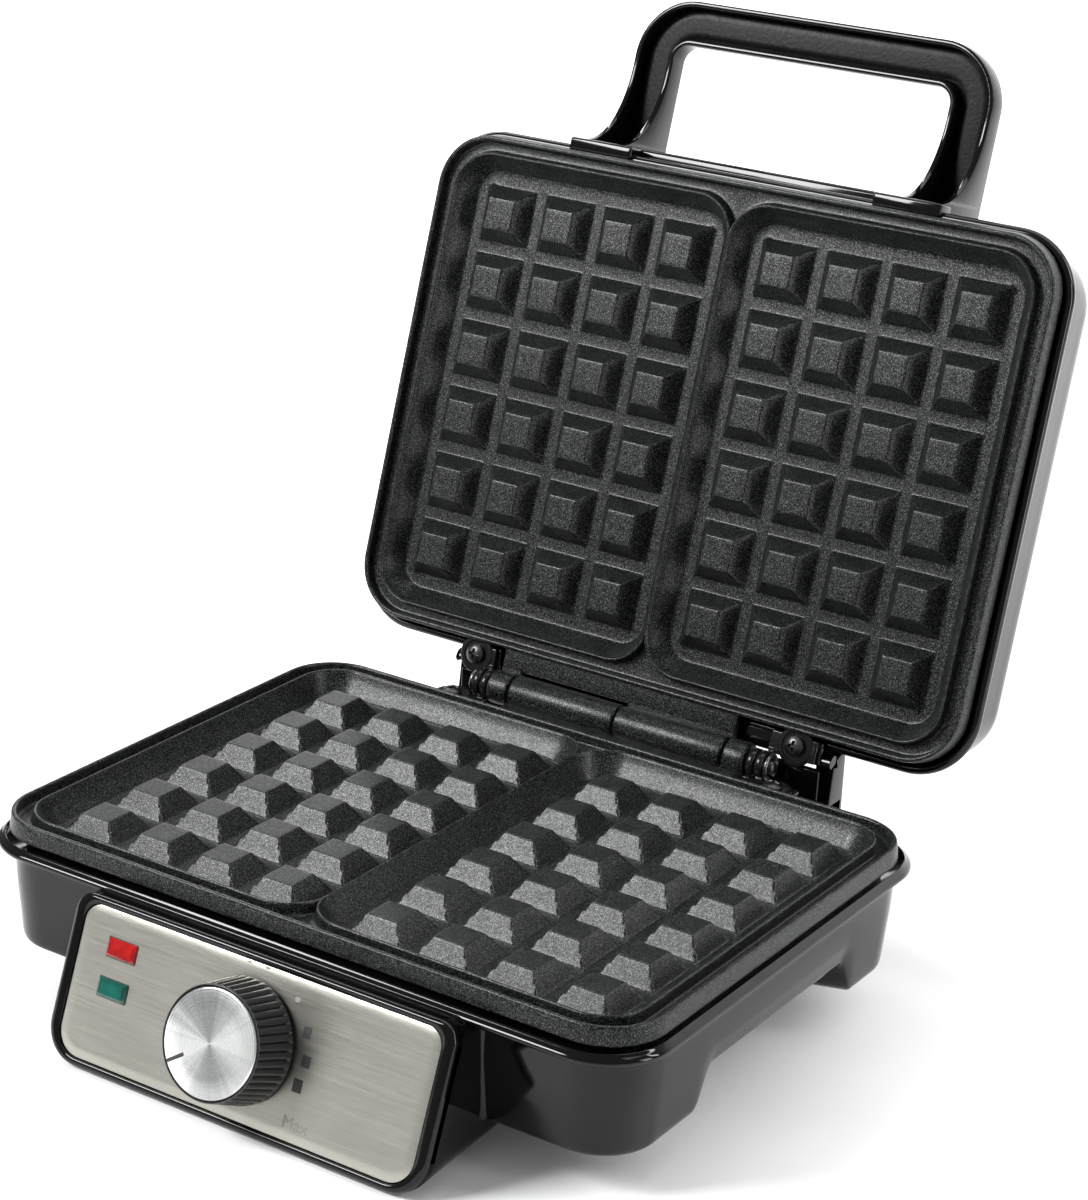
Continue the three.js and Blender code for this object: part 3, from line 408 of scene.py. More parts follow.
def lens_plastic(name, deep, bright, painted_lens_glow):
    """Tinted lens over a dark lamp: colour that wavers between two depths, with a faint painted glow, an
    emission in its own colour though the lamp behind it is dark.
    """
    # the emission is a painted glow: the lens lights itself though it is no lamp
    look = Look(name, IOR=1.49, Coat_Weight=0.5, Coat_Roughness=0.04, Emission_Strength=painted_lens_glow)
    where = look.place()
    cell = look.noise(where, 420, 2)
    cloud = look.noise(where, 130, 1)
    colour = look.blend(look.span(cell * 0.4 + cloud * 0.6, 0.35, 0.65), deep, bright)
    return look.feed(Base_Color=colour, Emission_Color=colour,
                     Roughness=look.span(cell, 0.3, 0.7, 0.08, 0.16))


gloss_black = moulded_gloss("gloss_black_moulding", (0.0012, 0.0014, 0.0012), 0.05, 0.1)
web_black = matt_moulding("grip_web_moulding", (0.0016, 0.0018, 0.0016), 0.24, 0.32, ior=1.16)
satin_black = matt_moulding("satin_black_moulding", (0.012, 0.012, 0.0125), 0.32, 0.42)
knob_black = matt_moulding("knob_black_moulding", (0.009, 0.009, 0.0095), 0.28, 0.36)
coating = nonstick()
panel_steel = brushed_panel()
cap_metal = spun_cap()
bright_steel = plain_metal("plated_steel", (0.36, 0.36, 0.35), (0.66, 0.66, 0.64), 0.2, 0.34)
clip_metal = plain_metal("dark_spring_wire", (0.07, 0.07, 0.07), (0.2, 0.2, 0.2), 0.2, 0.32)
screw_metal = plain_metal("blackened_screw_steel", (0.04, 0.04, 0.042), (0.12, 0.12, 0.125), 0.25, 0.4)
arm_black = moulded_gloss("black_enamelled_arm", (0.006, 0.006, 0.0065), 0.14, 0.26)
element_metal = plain_metal("heat_darkened_element", (0.12, 0.1, 0.085), (0.3, 0.27, 0.24), 0.35, 0.5)
tray_metal = plain_metal("pressed_aluminium_tray", (0.5, 0.5, 0.5), (0.78, 0.78, 0.78), 0.25, 0.4)
rubber = matt_moulding("black_rubber", (0.012, 0.012, 0.012), 0.7, 0.85, 700, 0.0001)
cream = matt_moulding("cream_switch_moulding", (0.42, 0.38, 0.3), 0.45, 0.6)
lamp_glass = matt_moulding("lamp_glass", (0.5, 0.47, 0.42), 0.05, 0.12)
# the last number of each lens is the strength of its painted glow
red_plastic = lens_plastic("red_lens_plastic", (0.2, 0.001, 0.001), (0.4, 0.002, 0.002), 0.05)
green_plastic = lens_plastic("green_lens_plastic", (0.0, 0.045, 0.035), (0.001, 0.1, 0.078), 0.04)
print_grey = matt_moulding("printed_grey", (0.02, 0.02, 0.02), 0.45, 0.55)
mark_grey = matt_moulding("printed_pale_grey", (0.2, 0.2, 0.19), 0.4, 0.5)

# -------------------------------------------------------------------------------------- cooking plates
PLATE_X, PLATE_Y, PLATE_R = 105.6, 77.2, 17.0
POCKET_X = 49.6
FLOOR_X, FLOOR_Y, FLOOR_R, FLOOR_Z = 44.4, 66.4, 7.2, -7.42
STUD_X = (-32.25, -10.75, 10.75, 32.25)
STUD_Y = (-53.6, -32.15, -10.7, 10.7, 32.15, 53.6)
STUD_TOP, STUD_BASE, STUD_RISE = 4.85, 8.75, 5.8
# outward distance from the pocket's floor edge, and height: wall, lip bead, outer drop, channel floor
LIP = np.array([
    (0, -7.42), (0.3, -7.36), (0.65, -7.12), (1.0, -6.7), (2.2, -5.0), (3.4, -3.25), (4.3, -1.55),
    (4.62, -0.75), (4.82, -0.34), (5.0, -0.12), (5.22, -0.02), (5.45, -0.06), (5.65, -0.25),
    (5.8, -0.62), (5.9, -1.4), (6.0, -2.6), (6.12, -3.0), (6.36, -3.27), (6.75, -3.38), (7.3, -3.4)])
# inward distance from the plate's edge, and height: channel side of the rim, crest, outer wall, underside
RIM = np.array([
    (2.5, -3.4), (2.05, -3.33), (1.8, -3.1), (1.68, -2.6), (1.58, -1.0), (1.5, -0.5), (1.33, -0.2),
    (1.1, -0.04), (0.8, 0.0), (0.5, -0.04), (0.26, -0.18), (0.1, -0.42), (0.02, -0.9), (-0.25, -3.2),
    (-0.46, -4.9), (-0.42, -5.25), (-0.2, -5.4), (1.2, -5.42), (5.5, -5.45), (5.52, -11.0)])


def fine_lines(centres, edge):
    """Grid lines across one pocket: close together at each stud's edges, wider on the flats."""
    local = np.array([9.3, 9.0, 8.75, 8.45, 7.8, 6.8, 5.8, 5.3, 5.08, 4.9, 4.72, 4.4, 3.2, 1.6])
    lines = [c + s * local for c in centres for s in (-1, 1)] + [np.array(centres)]
    ends = np.linspace(max(centres) + 9.3, edge, 5)[1:]
    lines += [ends, -ends]
    return np.unique(np.round(np.concatenate(lines), 4))


def smooth_most(a, b, k):
    """The larger of two values, with the crease between them rounded over about 1/k."""
    return np.logaddexp(a * k, b * k) / k


def stud_height(x, y):
    """Height of the studs above the pocket floor: slopes down from each flat top, corners eased."""
    dx = np.min(np.abs(x[..., None] - np.array(STUD_X)), -1)
    dy = np.min(np.abs(y[..., None] - np.array(STUD_Y)), -1)
    reach = smooth_most(dx, dy, 9.0)
    slope = (STUD_BASE - reach) / (STUD_BASE - STUD_TOP) * STUD_RISE
    top = -smooth_most(-slope, -STUD_RISE + 0 * slope, 7.0)
    return smooth_most(top, 0 * top, 5.0) - 0.02


def to_round(u, half, corner, other, other_half):
    """Pulls a rectangle's corner square into its rounded corner: each shell of the square becomes an arc."""
    p = np.clip((np.abs(u) - (half - corner)) / corner, 0, None)
    q = np.clip((np.abs(other) - (other_half - corner)) / corner, 0, None)
    length = np.hypot(p, q)
    scale = np.where(length > 1e-9, np.maximum(p, q) / np.maximum(length, 1e-9), 1.0)
    inside = (p > 0) & (q > 0)
    return np.where(inside, np.sign(u) * (half - corner + corner * p * scale), u)


def lip_height(distance):
    """Height of the pocket wall and lip at a distance out from the floor's edge, straight between points."""
    return np.interp(distance, LIP[:, 0], LIP[:, 1])


def floor_distance(x, y):
    """Distance outwards from the rounded rectangle of a pocket's floor."""
    qx, qy = np.abs(x) - (FLOOR_X - FLOOR_R), np.abs(y) - (FLOOR_Y - FLOOR_R)
    return np.hypot(np.maximum(qx, 0), np.maximum(qy, 0)) + np.minimum(np.maximum(qx, qy), 0) - FLOOR_R


def plate_half():
    """Right half of a plate, in three grids: the floor with its studs, the lip, and the rim and underside.

    The lip's rows are the floor's border moved outwards, and the rim's rows the same border stretched.
    """
    xs, ys = fine_lines(STUD_X, FLOOR_X), fine_lines(STUD_Y, FLOOR_Y)
    gx, gy = np.meshgrid(xs, ys, indexing="ij")
    x = to_round(gx, FLOOR_X, FLOOR_R, gy, FLOOR_Y)
    y = to_round(gy, FLOOR_Y, FLOOR_R, gx, FLOOR_X)
    edge = np.clip(-floor_distance(x, y) / 0.8, 0, 1)
    floor = np.stack([x + POCKET_X, y, FLOOR_Z + stud_height(x, y) * edge], -1)
    # the floor's border, anticlockwise from the middle of the rib side, so that the loop opens at the rib
    loop = np.concatenate([
        np.stack([x[0, ::-1], y[0, ::-1]], -1), np.stack([x[1:, 0], y[1:, 0]], -1),
        np.stack([x[-1, 1:], y[-1, 1:]], -1), np.stack([x[-2::-1, -1], y[-2::-1, -1]], -1)[:-1]])
    start = len(ys) // 2
    loop = np.concatenate([loop[start:], loop[:start], loop[start:start + 1]])
    corner = np.sign(loop) * [FLOOR_X - FLOOR_R, FLOOR_Y - FLOOR_R]
    out = loop - corner
    flat_x = np.abs(loop[:, 0]) < FLOOR_X - FLOOR_R + 1e-6
    flat_y = np.abs(loop[:, 1]) < FLOOR_Y - FLOOR_R + 1e-6
    out[flat_x, 0] = 0
    out[flat_y, 1] = 0
    out /= np.linalg.norm(out, axis=1, keepdims=True)
    spread = loop[None] + out[None] * LIP[:, :1, None]
    wall_x = spread[..., 0] + POCKET_X
    crossing = wall_x < 0
    wall_x = np.where(crossing, 0, wall_x)
    depth = lip_height(np.maximum(floor_distance(wall_x - POCKET_X, spread[..., 1]), LIP[:, :1] * ~crossing))
    wall = np.stack([wall_x, spread[..., 1], depth], -1)
    # channel and rim: the outer loop's points that lie clear of the rib are matched to the plate's edge
    free = np.flatnonzero(~crossing[-1])
    span = np.arange(free[0] - 1, free[-1] + 2)
    inner = wall[-1, span]
    direction = out[span].copy()
    base = loop[span] + [POCKET_X, 0]
    on_rib = direction[:, 0] < 0.0
    corner_x, corner_y = PLATE_X - PLATE_R, PLATE_Y - PLATE_R
    stretch_x = corner_x / (POCKET_X + FLOOR_X - FLOOR_R)
    stretch_y = corner_y / (FLOOR_Y - FLOOR_R)
    level_x = np.where(inner[:, 0] <= 1e-9, 0.0, inner[:, 0])
    rim_rows = []
    for inset, height in RIM:
        r = PLATE_R - inset
        row_x = np.clip(base[:, 0] * stretch_x, None, corner_x)
        row_y = np.clip(base[:, 1] * stretch_y, -corner_y, corner_y)
        row = np.stack([row_x + np.maximum(direction[:, 0], 0) * r, row_y + direction[:, 1] * r], -1)
        # beside the rib the edge is straight, so the point sits level with the lip's own x
        row[on_rib, 0] = level_x[on_rib]
        row[on_rib, 1] = np.sign(direction[on_rib, 1]) * (PLATE_Y - inset)
        rim_rows.append(np.concatenate([row, np.full((len(row), 1), height)], 1))
    rim = np.stack(rim_rows)
    below = rim[-1:].copy()
    below[..., :2] = 0
    return [floor, wall, np.concatenate([inner[None], rim, below])]


def whole_plate():
    """Both halves of a plate: the right one and its mirror image."""
    half = plate_half()
    return half + [g * [-1, 1, 1] for g in half]


def barrel(x0, x1):
    """A hinge barrel: a cylinder along x with eased ends."""
    eased = [(0.9, 0), (0.35, 0.1), (0.08, 0.35), (0, 0.7)]
    profile = [(0, x0)] + [(BARREL - inset, x0 + along) for inset, along in eased]
    profile += [(BARREL - inset, x1 - along) for inset, along in eased[::-1]] + [(0, x1)]
    return along_x(turned(profile, 56), HINGE_Y, HINGE_Z)


def plate_hinge(barrel_span, knuckle_span):
    """Web, long barrel and knuckle of one plate."""
    x0, x1 = min(barrel_span[0], knuckle_span[0]), max(barrel_span[1], knuckle_span[1])
    parts = [round_box((x0, 75.5, -4.4), (x1, 83.2, -1.5), 0.7)]
    for a, b in (barrel_span, knuckle_span):
        parts += [barrel(a, b), round_box((a, 82, -4.2), (b, HINGE_Y - 1, -1.6), 0.6)]
    return parts


left_barrel, right_knuckle = (-40.0, -2.25), (36.4, 43.4)
right_barrel, left_knuckle = (-1.75, 35.6), (-47.9, -40.8)
piece("lower_cooking_plate", whole_plate(), "base", ["lower_plate"], coating, 60, hips=True)
piece("lower_plate_hinge", plate_hinge(left_barrel, right_knuckle), "base", [], coating)
piece("upper_cooking_plate", [opened(flipped(g)) for g in whole_plate()], "lid", ["upper_plate"],
      coating, 60, hips=True)
piece("upper_plate_hinge", [opened(flipped(g)) for g in plate_hinge(right_barrel, left_knuckle)], "lid", [],
      coating)

# ------------------------------------------------------------------------------------------ base shell
BASE_CY = 0.8
FLANGE_X, FLANGE_Y, FLANGE_R = 108.8, 82.0, 20.0
WALL_X, WALL_Y, WALL_R = 105.5, 77.3, 18.0
CONSOLE_X = 62.2


def base_outline(half_x, half_y, r, cy):
    """The rounded rectangle of the base or the lid in plan, with enough points for its feet."""
    return outline(half_x, half_y, r, cy, 16, (96, 140))


def ramp_between(value, low, high, width):
    """0 outside low..high and 1 inside, easing over width at each end."""
    share = np.clip((value - low) / width + 0.5, 0, 1) * np.clip((high - value) / width + 0.5, 0, 1)
    return share * share * (3 - 2 * share)


def base_surface():
    """Shell from inside its lip, over the flange, down the wall to the feet and back up inside them.

    The wall's lower edge is raised between the feet, along both sides and the rear.
    """
    flange = base_outline(FLANGE_X, FLANGE_Y, FLANGE_R, BASE_CY)
    wall = base_outline(WALL_X, WALL_Y, WALL_R, BASE_CY)
    inside = base_outline(WALL_X - 2.4, WALL_Y - 2.4, WALL_R - 2.4, BASE_CY)
    deep = base_outline(83.0, 55.0, 4.0, BASE_CY)
    side = ramp_between(wall[:, 1], -35.2, 42.2, 8.0) * (np.abs(wall[:, 0]) > 80)
    rear = ramp_between(wall[:, 0], -62, 62, 5.6) * (wall[:, 1] > 60)
    bottom = -38.5 + 11.5 * np.maximum(side, rear)
    rows = [(deep, 0, -24.3), (inside, 0, -24.3), (inside, 0, -9.0), (inside, 0.15, -8.0),
            (inside, 0.6, -7.62), (flange, -2.75, -7.5), (flange, -2.45, -7.3), (flange, -2.3, -6.75),
            (flange, -2.12, -6.4), (flange, -1.9, -6.3), (flange, -1.68, -6.42), (flange, -1.45, -6.75),
            (flange, -1.1, -7.0), (flange, -0.6, -7.3), (flange, -0.22, -7.65), (flange, -0.05, -8.0),
            (flange, 0, -8.35), (flange, -0.12, -8.8), (flange, -0.45, -9.15), (flange, -0.95, -9.35),
            (wall, 1.6, -9.5), (wall, 0.75, -9.7), (wall, 0.25, -10.2), (wall, 0.02, -11.2),
            (wall, -0.05, -14)]
    for share, inset in ((0.0, 0.3), (0.25, 0.7), (0.5, 1.15), (0.72, 1.5), (0.86, 1.72), (0.93, 1.9),
                         (0.97, 2.2), (0.99, 2.7), (1.0, 3.5)):
        rows.append((wall, -inset, -20 + share * (bottom + 20)))
    rows += [(deep, 0, bottom), (deep, 0, -24.3)]
    return rings(rows)


def hinge_support(side):
    """Shelf under the hinge arm, an upright web behind it, and the round-topped post that stops the lid."""
    parts = [round_box((50.5, 78.4, -17), (67, 85.8, -4.2), 0.8),
             round_box((50.5, 75, -17), (67, 80, -8.6), 0.6),
             round_box((58.6, 80, -17), (67, 104.7, -9.5), 1.0),
             round_box((43.6, 93.9, -17), (64, 96.3, 0.8), 0.6)]
    angle = np.linspace(0, math.pi / 2, 9)
    curve = np.stack([2.6 * np.cos(angle), 2.6 * np.sin(angle)], -1)
    top = np.concatenate([[(95.6, -17)], curve[::-1] * [-1, 1] + [98.2, 2.4], curve[::-1] + [102.6, 2.4],
                          [(105.2, -17)]])
    parts.append(slab(top[::-1], 60.9, 67, 0.7))
    return [g * [side, 1, 1] for g in parts]


def slab(profile, x0, x1, r, steps=5):
    """An outline in the YZ plane carried along x, pulled in at both ends to round its edges."""
    profile = np.array(profile, float)
    normal = outward(profile)
    if np.sum(profile[:, 0] * np.roll(profile[:, 1], -1) - np.roll(profile[:, 0], -1) * profile[:, 1]) < 0:
        normal = -normal
    quarter = np.linspace(0, math.pi / 2, steps + 1)
    stations = [(x0 + r - r * math.cos(a), r - r * math.sin(a)) for a in quarter]
    stations += [(x1 - r + r * math.cos(a), r - r * math.sin(a)) for a in quarter[::-1]]
    made = []
    for x, inset in stations:
        flat = profile - normal * inset
        made.append(np.concatenate([np.full((len(flat), 1), x), flat], 1))
    return capped(closed(np.stack(made)))


piece("base_moulding", [base_surface()] + hinge_support(1) + hinge_support(-1), "base", ["base_shell"],
      gloss_black, 40)

# --------------------------------------------------------------------------------------------- console
FACE_HALF = 23.2
CONSOLE_REAR_TOP, CONSOLE_REAR_LOW = -6.3, -44.9
RED_LENS, GREEN_LENS = (-44.1, 10.9), (-44.3, 0.0)


def face_outline():
    """Outer edge of the console's sloping face: a rectangle with wider rounding at its lower corners."""
    return outline(CONSOLE_X, FACE_HALF, (5.5, 5.5, 10.5, 10.5), 0.0, 14, (20, 40))


def console_body():
    """The frame's outline on the slope carried back to an upright outline inside the base's wall."""
    front = face_outline()
    depths = (-1.35, -2.2, -3.5)
    slope = [on_face(np.concatenate([front, np.full((len(front), 1), h)], 1)) for h in depths]
    rear = outline(CONSOLE_X, (CONSOLE_REAR_TOP - CONSOLE_REAR_LOW) / 2, (0.8, 0.8, 3.0, 3.0),
                   (CONSOLE_REAR_TOP + CONSOLE_REAR_LOW) / 2, 14, (20, 40))
    last = np.stack([rear[:, 0], np.full(len(rear), -66.0), rear[:, 1]], -1)
    first = slope[-1]
    between = [first * (1 - s) + last * s for s in (0.15, 0.3, 0.45, 0.6, 0.75, 0.9)]
    return capped(closed(np.stack(slope + between + [last])))


def cheek_fillet(side):
    """Hollow corner between the console's cheek and the base's wall: a quarter circle at each height."""
    radius, steps = 1.7, 8
    angle = np.linspace(0, math.pi / 2, steps + 1)
    x = CONSOLE_X + radius - radius * np.sin(angle)
    rows = []
    for z in (-9.2, -16, -24, -32, -38.3):
        wall_y = BASE_CY - WALL_Y + 0.1 + 1.9 * (-z - 9.6) / 28.9
        y = wall_y - radius + radius * np.cos(angle)
        ring = np.stack([x, y, np.full_like(x, z)], -1)
        hidden = np.array([[CONSOLE_X - 0.6, wall_y - radius, z], [CONSOLE_X - 0.6, wall_y + 0.6, z],
                           [CONSOLE_X + radius, wall_y + 0.6, z]])
        rows.append(np.concatenate([ring, hidden]))
    return capped(closed(np.stack(rows))) * [side, 1, 1]


def frame_ring(outer, inner, rows):
    """A raised frame: rows of (share from outer to inner outline, offset, height out of the face)."""
    made = []
    for share, offset, height in rows:
        ring = outer * (1 - share) + inner * share
        flat = ring + outward(ring) * offset
        made.append(np.concatenate([flat, np.full((len(flat), 1), height)], 1))
    return closed(np.stack(made))


def bezel():
    """Frame round the steel panel: rounded outside, a narrow land, and a step down to the panel's bed."""
    outer = face_outline()
    inner = outline(58.7, 21.0, (5.2, 5.2, 7.6, 7.6), 0.0, 14, (20, 40))
    rows = [(0, -0.5, -5), (0, 0, -3.5), (0, 0, -0.7), (0, -0.1, -0.2), (0, -0.4, 0.25), (0, -0.85, 0.5),
            (0.5, 0, 0.62), (1, 0.5, 0.5), (1, 0.2, 0.38), (1, 0.03, 0.1), (1, 0, -0.4), (1, 0, -1.6)]
    return on_face(frame_ring(outer, inner, rows))


piece("console_moulding", [console_body(), bezel(), cheek_fillet(1), cheek_fillet(-1)], "base",
      ["control_housing"], gloss_black, 40)


def capped_plate(half_x, half_y, r, rows, steps=12):
    """A flat plate with a rounded edge: rows of (inset, height), closed over the middle."""
    ring = outline(half_x, half_y, r, 0.0, steps, (16, 30))
    g = rings([(ring, -inset, height) for inset, height in rows])
    return capped(g)


panel = capped_plate(58.45, 20.75, (5, 5, 7.4, 7.4),
                     [(0.2, -1.0), (0, -0.9), (0, -0.22), (0.08, -0.07), (0.25, 0.0), (3.0, 0.0)])
piece("steel_panel", [on_face(panel)], "base", ["control_panel"], panel_steel, 35)


def lens_block(x, t):
    """A lens: straight sides, a wide bevel, a thin raised edge and a flat middle just below it."""
    rows = [(0, -2), (0, 0.3), (0.1, 0.42), (0.8, 1.1), (0.9, 1.18), (1.05, 1.18), (1.12, 1.05), (1.5, 1.05),
            (2.3, 1.05)]
    made = [(outline(4.85 - inset, 2.55 - inset, max(0.4 - inset, 0.06), 0.0, 4, (8, 12)), 0, height)
            for inset, height in rows]
    return on_face(capped(rings(made)) + [x, t, 0])


def painted_gap_shade(x, t):
    """A low dark plate a little larger than a lens: painted shade that stands for the shadowed gap round it.
    """
    ring = outline(5.15, 2.85, 0.5, 0.0, 4, (8, 12))
    g = capped(rings([(ring, 0, -0.5), (ring, 0, 0.03), (ring, -0.05, 0.06), (ring, -0.2, 0.07)]))
    return on_face(g + [x, t, 0])


piece("red_power_lens", [lens_block(*RED_LENS)], "base", ["power_lens_red"], red_plastic, 30)
piece("green_ready_lens", [lens_block(*GREEN_LENS)], "base", ["ready_lens_green"],
      green_plastic, 30)
# painted shade: dark plates round the lenses stand for the shade in the gaps there
piece("lens_gap_painted_shade", [painted_gap_shade(*RED_LENS), painted_gap_shade(*GREEN_LENS)], "base", [], print_grey,
      30)


def printed(name, text, x, t, size, material):
    """Flat generic lettering just proud of the panel."""
    curve = bpy.data.curves.new(name, "FONT")
    curve.body = text
    curve.size = size
    curve.align_x, curve.align_y = "CENTER", "CENTER"
    holder = add_object(name + "_text", curve)
    bpy.context.view_layer.update()
    mesh = bpy.data.meshes.new_from_object(holder.evaluated_get(bpy.context.evaluated_depsgraph_get()))
    bpy.data.objects.remove(holder)
    co = np.zeros(len(mesh.vertices) * 3)
    mesh.vertices.foreach_get("co", co)
    co = co.reshape(-1, 3) + [x, t, 0.05]
    mesh.vertices.foreach_set("co", place(on_face(co)).ravel())
    mesh.name = name
    mesh.materials.clear()
    mesh.materials.append(material)
    made = add_object(name, mesh)
    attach(made, "base")


printed("dial_zero", "0", -22.4, -16.1, 4.6, mark_grey)
printed("dial_max", "Max", 21.5, -15.9, 4.9, mark_grey)


def dial_blocks(marks):
    """Printed blocks round the knob, from (angle, width, height) rows."""
    parts = []
    for degrees, wide, tall in marks:
        a = math.radians(degrees)
        ring = outline(wide / 2, tall / 2, 0.15, 0.0, 2, (2, 2))
        g = capped(rings([(ring, 0, 0.02), (ring, 0, 0.05), (ring, -0.05, 0.055)]))
        parts.append(on_face(g + [20.4 * math.cos(a), 20.4 * math.sin(a), 0]))
    return parts


piece("dial_blocks", dial_blocks([(23, 2.5, 3.0), (2, 2.7, 3.1), (-17, 2.9, 3.6)]), "base", [],
      print_grey, 30)
piece("dial_small_blocks", dial_blocks([(48, 1.5, 1.3), (66, 1.3, 0.8), (83, 1.2, 0.6), (100, 1.1, 0.5)]),
      "base", [], mark_grey, 30)

# ------------------------------------------------------------------------------------------------ knob
RIBS = 44


def ribbed(profile, angle):
    """Rib depth: rounded ridges between narrow grooves, fading out towards the skirt's two edges."""
    ridge = np.abs(np.sin(angle * RIBS / 2))[None, :] ** 0.6
    height = profile[:, 1:]
    strength = np.clip((height - 1.6) / 0.8, 0, 1) * np.clip((14.0 - height) / 0.6, 0, 1)
    outside = (profile[:, :1] > 15.0) & (height > 1.2) & (height < 14.4)
    return 0.85 * (ridge - 1) * strength * outside


skirt = turned([(3.3, 1.0), (16.0, 1.0), (16.55, 1.12), (16.8, 1.5), (16.75, 2.0), (16.66, 2.6), (16.3, 6),
                (15.8, 10), (15.45, 13.2), (15.4, 13.5), (15.36, 13.8), (15.3, 14.1), (15.15, 14.35),
                (14.98, 14.42), (14.85, 14.3), (14.85, 12.3), (3.3, 12.3), (3.3, 1.0)], RIBS * 10, ribbed)
cap = turned([(0, 12.5), (14.6, 12.5), (14.62, 13.9), (14.55, 14.25), (14.35, 14.5), (14.0, 14.6), (9, 14.6),
              (4, 14.6), (0.4, 14.6), (0, 14.6)], 128)
piece("knob_ribbed_skirt", [on_face(skirt)], "knob", ["knob_skirt"], knob_black, 60)
piece("knob_spun_cap", [on_face(cap)], "knob", ["knob_cap"], cap_metal, 40)


def pointer():
    """Engraved pointer line near the cap's edge, at the dial's zero."""
    ring = outline(2.9, 0.5, 0.3, 0.0, 4, (2, 6))
    g = capped(rings([(ring, 0, 14.55), (ring, 0, 14.64), (ring, -0.06, 14.66)])) + [11.5, 0, 0]
    a = math.radians(215)
    x, y = g[..., 0].copy(), g[..., 1].copy()
    g[..., 0], g[..., 1] = x * math.cos(a) - y * math.sin(a), x * math.sin(a) + y * math.cos(a)
    return on_face(g)


piece("knob_pointer", [pointer()], "knob", [], print_grey, 40)

# ------------------------------------------------------------------------------------------- lid shell
LID_CY = 0.8
LID_FLANGE_Y, LID_WALL_X, LID_WALL_Y = 80.2, 106.0, 77.4


def lid_surface():
    """Lid from the inside of its lip, over the flange, up the wall and over the crown to its middle.

    The crown's edge turns a quarter circle in height while it draws in by a power of the same turn.
    """
    flange = base_outline(FLANGE_X, LID_FLANGE_Y, FLANGE_R, LID_CY)
    wall = base_outline(LID_WALL_X, LID_WALL_Y, 18.0, LID_CY)
    inside = base_outline(LID_WALL_X - 2.4, LID_WALL_Y - 2.4, 15.6, LID_CY)
    up = [(inside, 0, 30.0), (inside, 0, 9.6), (inside, 0.15, 8.6), (inside, 0.6, 8.22),
          (flange, -2.75, 8.1), (flange, -2.45, 7.9), (flange, -2.3, 7.35), (flange, -2.12, 7.1),
          (flange, -1.9, 7.0), (flange, -1.4, 7.02), (flange, -0.9, 7.2), (flange, -0.45, 7.6),
          (flange, -0.12, 8.2), (flange, 0, 8.9), (flange, -0.12, 9.5), (flange, -0.45, 9.9),
          (flange, -0.95, 10.15), (wall, 1.5, 10.3), (wall, 0.75, 10.5), (wall, 0.25, 11.0),
          (wall, 0.02, 12.0), (wall, -0.2, 16), (wall, -0.5, 21), (wall, -0.75, 25)]
    for angle in np.linspace(0, math.pi / 2, 15)[1:]:
        inset = 0.75 + 21 * (1 - math.cos(angle)) ** 1.25
        up.append((base_outline(LID_WALL_X - inset, LID_WALL_Y - inset, max(18 - inset * 0.45, 6), LID_CY), 0,
                   25 + 15 * math.sin(angle)))
    for inset in (35, 55, 72):
        up.append((base_outline(LID_WALL_X - inset, LID_WALL_Y - inset, 5, LID_CY), 0, 40.0))
    return capped(rings(up), first=False)


# a shelf over each hinge arm, and an apron between them that closes the lid's rear edge
lid_parts = [lid_surface()]
for x0, x1 in ((-63.5, -50.5), (50.5, 63.5)):
    lid_parts.append(round_box((x0, 78.4, 4.8), (x1, 85.8, 7.4), 0.8))
lid_parts.append(round_box((-60, 79.5, 7.2), (60, 85.6, 9.4), 0.8))
piece("lid_moulding", [opened(g) for g in lid_parts], "lid", ["lid_shell"], gloss_black, 40)

# ---------------------------------------------------------------------------------------------- handle
HANDLE_X, HANDLE_BAR, HANDLE_FRONT, HANDLE_TOP = 61.7, 13.9, -130.3, 39.5
ROOT_Y, GRIP_LOW, ROOT_LOW, SWEEP = -82.0, 30.1, 10.0, 27.0


def handle_path():
    """Middle line of the hoop in plan: up the left leg, round the corner, along the grip and down again."""
    x, r = HANDLE_X - HANDLE_BAR / 2, 19 - HANDLE_BAR / 2
    front = HANDLE_FRONT + HANDLE_BAR / 2
    leg = np.stack([np.full(30, -x), np.linspace(ROOT_Y + 2.6, front + r, 30)], -1)
    angle = np.linspace(math.pi, 1.5 * math.pi, 17)[1:]
    bend = np.stack([-x + r + r * np.cos(angle), front + r + r * np.sin(angle)], -1)
    grip = np.stack([np.linspace(-x + r, 0, 16)[1:], np.full(15, front)], -1)
    half = np.concatenate([leg, bend, grip])
    return np.concatenate([half, half[-2::-1] * [-1, 1]])


def handle_low(y):
    """Lower edge of the hoop: a quarter ellipse from the root's edge up to the level grip."""
    share = np.clip((ROOT_Y - y) / SWEEP, 0, 1)
    return ROOT_LOW + (GRIP_LOW - ROOT_LOW) * np.sqrt(1 - (1 - share) ** 2)


def handle_section(low, top):
    """Channel section: (across, height) round the outside, over the back, and round the hollow."""
    h = HANDLE_BAR / 2
    quarter = np.linspace(0, math.pi / 2, 6)
    back = [(h - 2.6 + 2.6 * math.cos(a), top - 2.6 + 2.6 * math.sin(a)) for a in quarter]
    points = [(h, low + 0.6)] + back + [(-u, z) for u, z in back[::-1]] + [
        (-h, low + 0.6), (-h + 0.18, low + 0.18), (-h + 0.6, low), (-h + 1.3, low), (-h + 1.7, low + 0.15),
        (-h + 1.85, low + 0.5), (-h + 2.0, top - 3.6), (-h + 2.6, top - 3.05), (h - 2.6, top - 3.05),
        (h - 2.0, top - 3.6), (h - 1.85, low + 0.5), (h - 1.7, low + 0.15), (h - 1.3, low), (h - 0.6, low),
        (h - 0.18, low + 0.18)]
    return np.array(points)


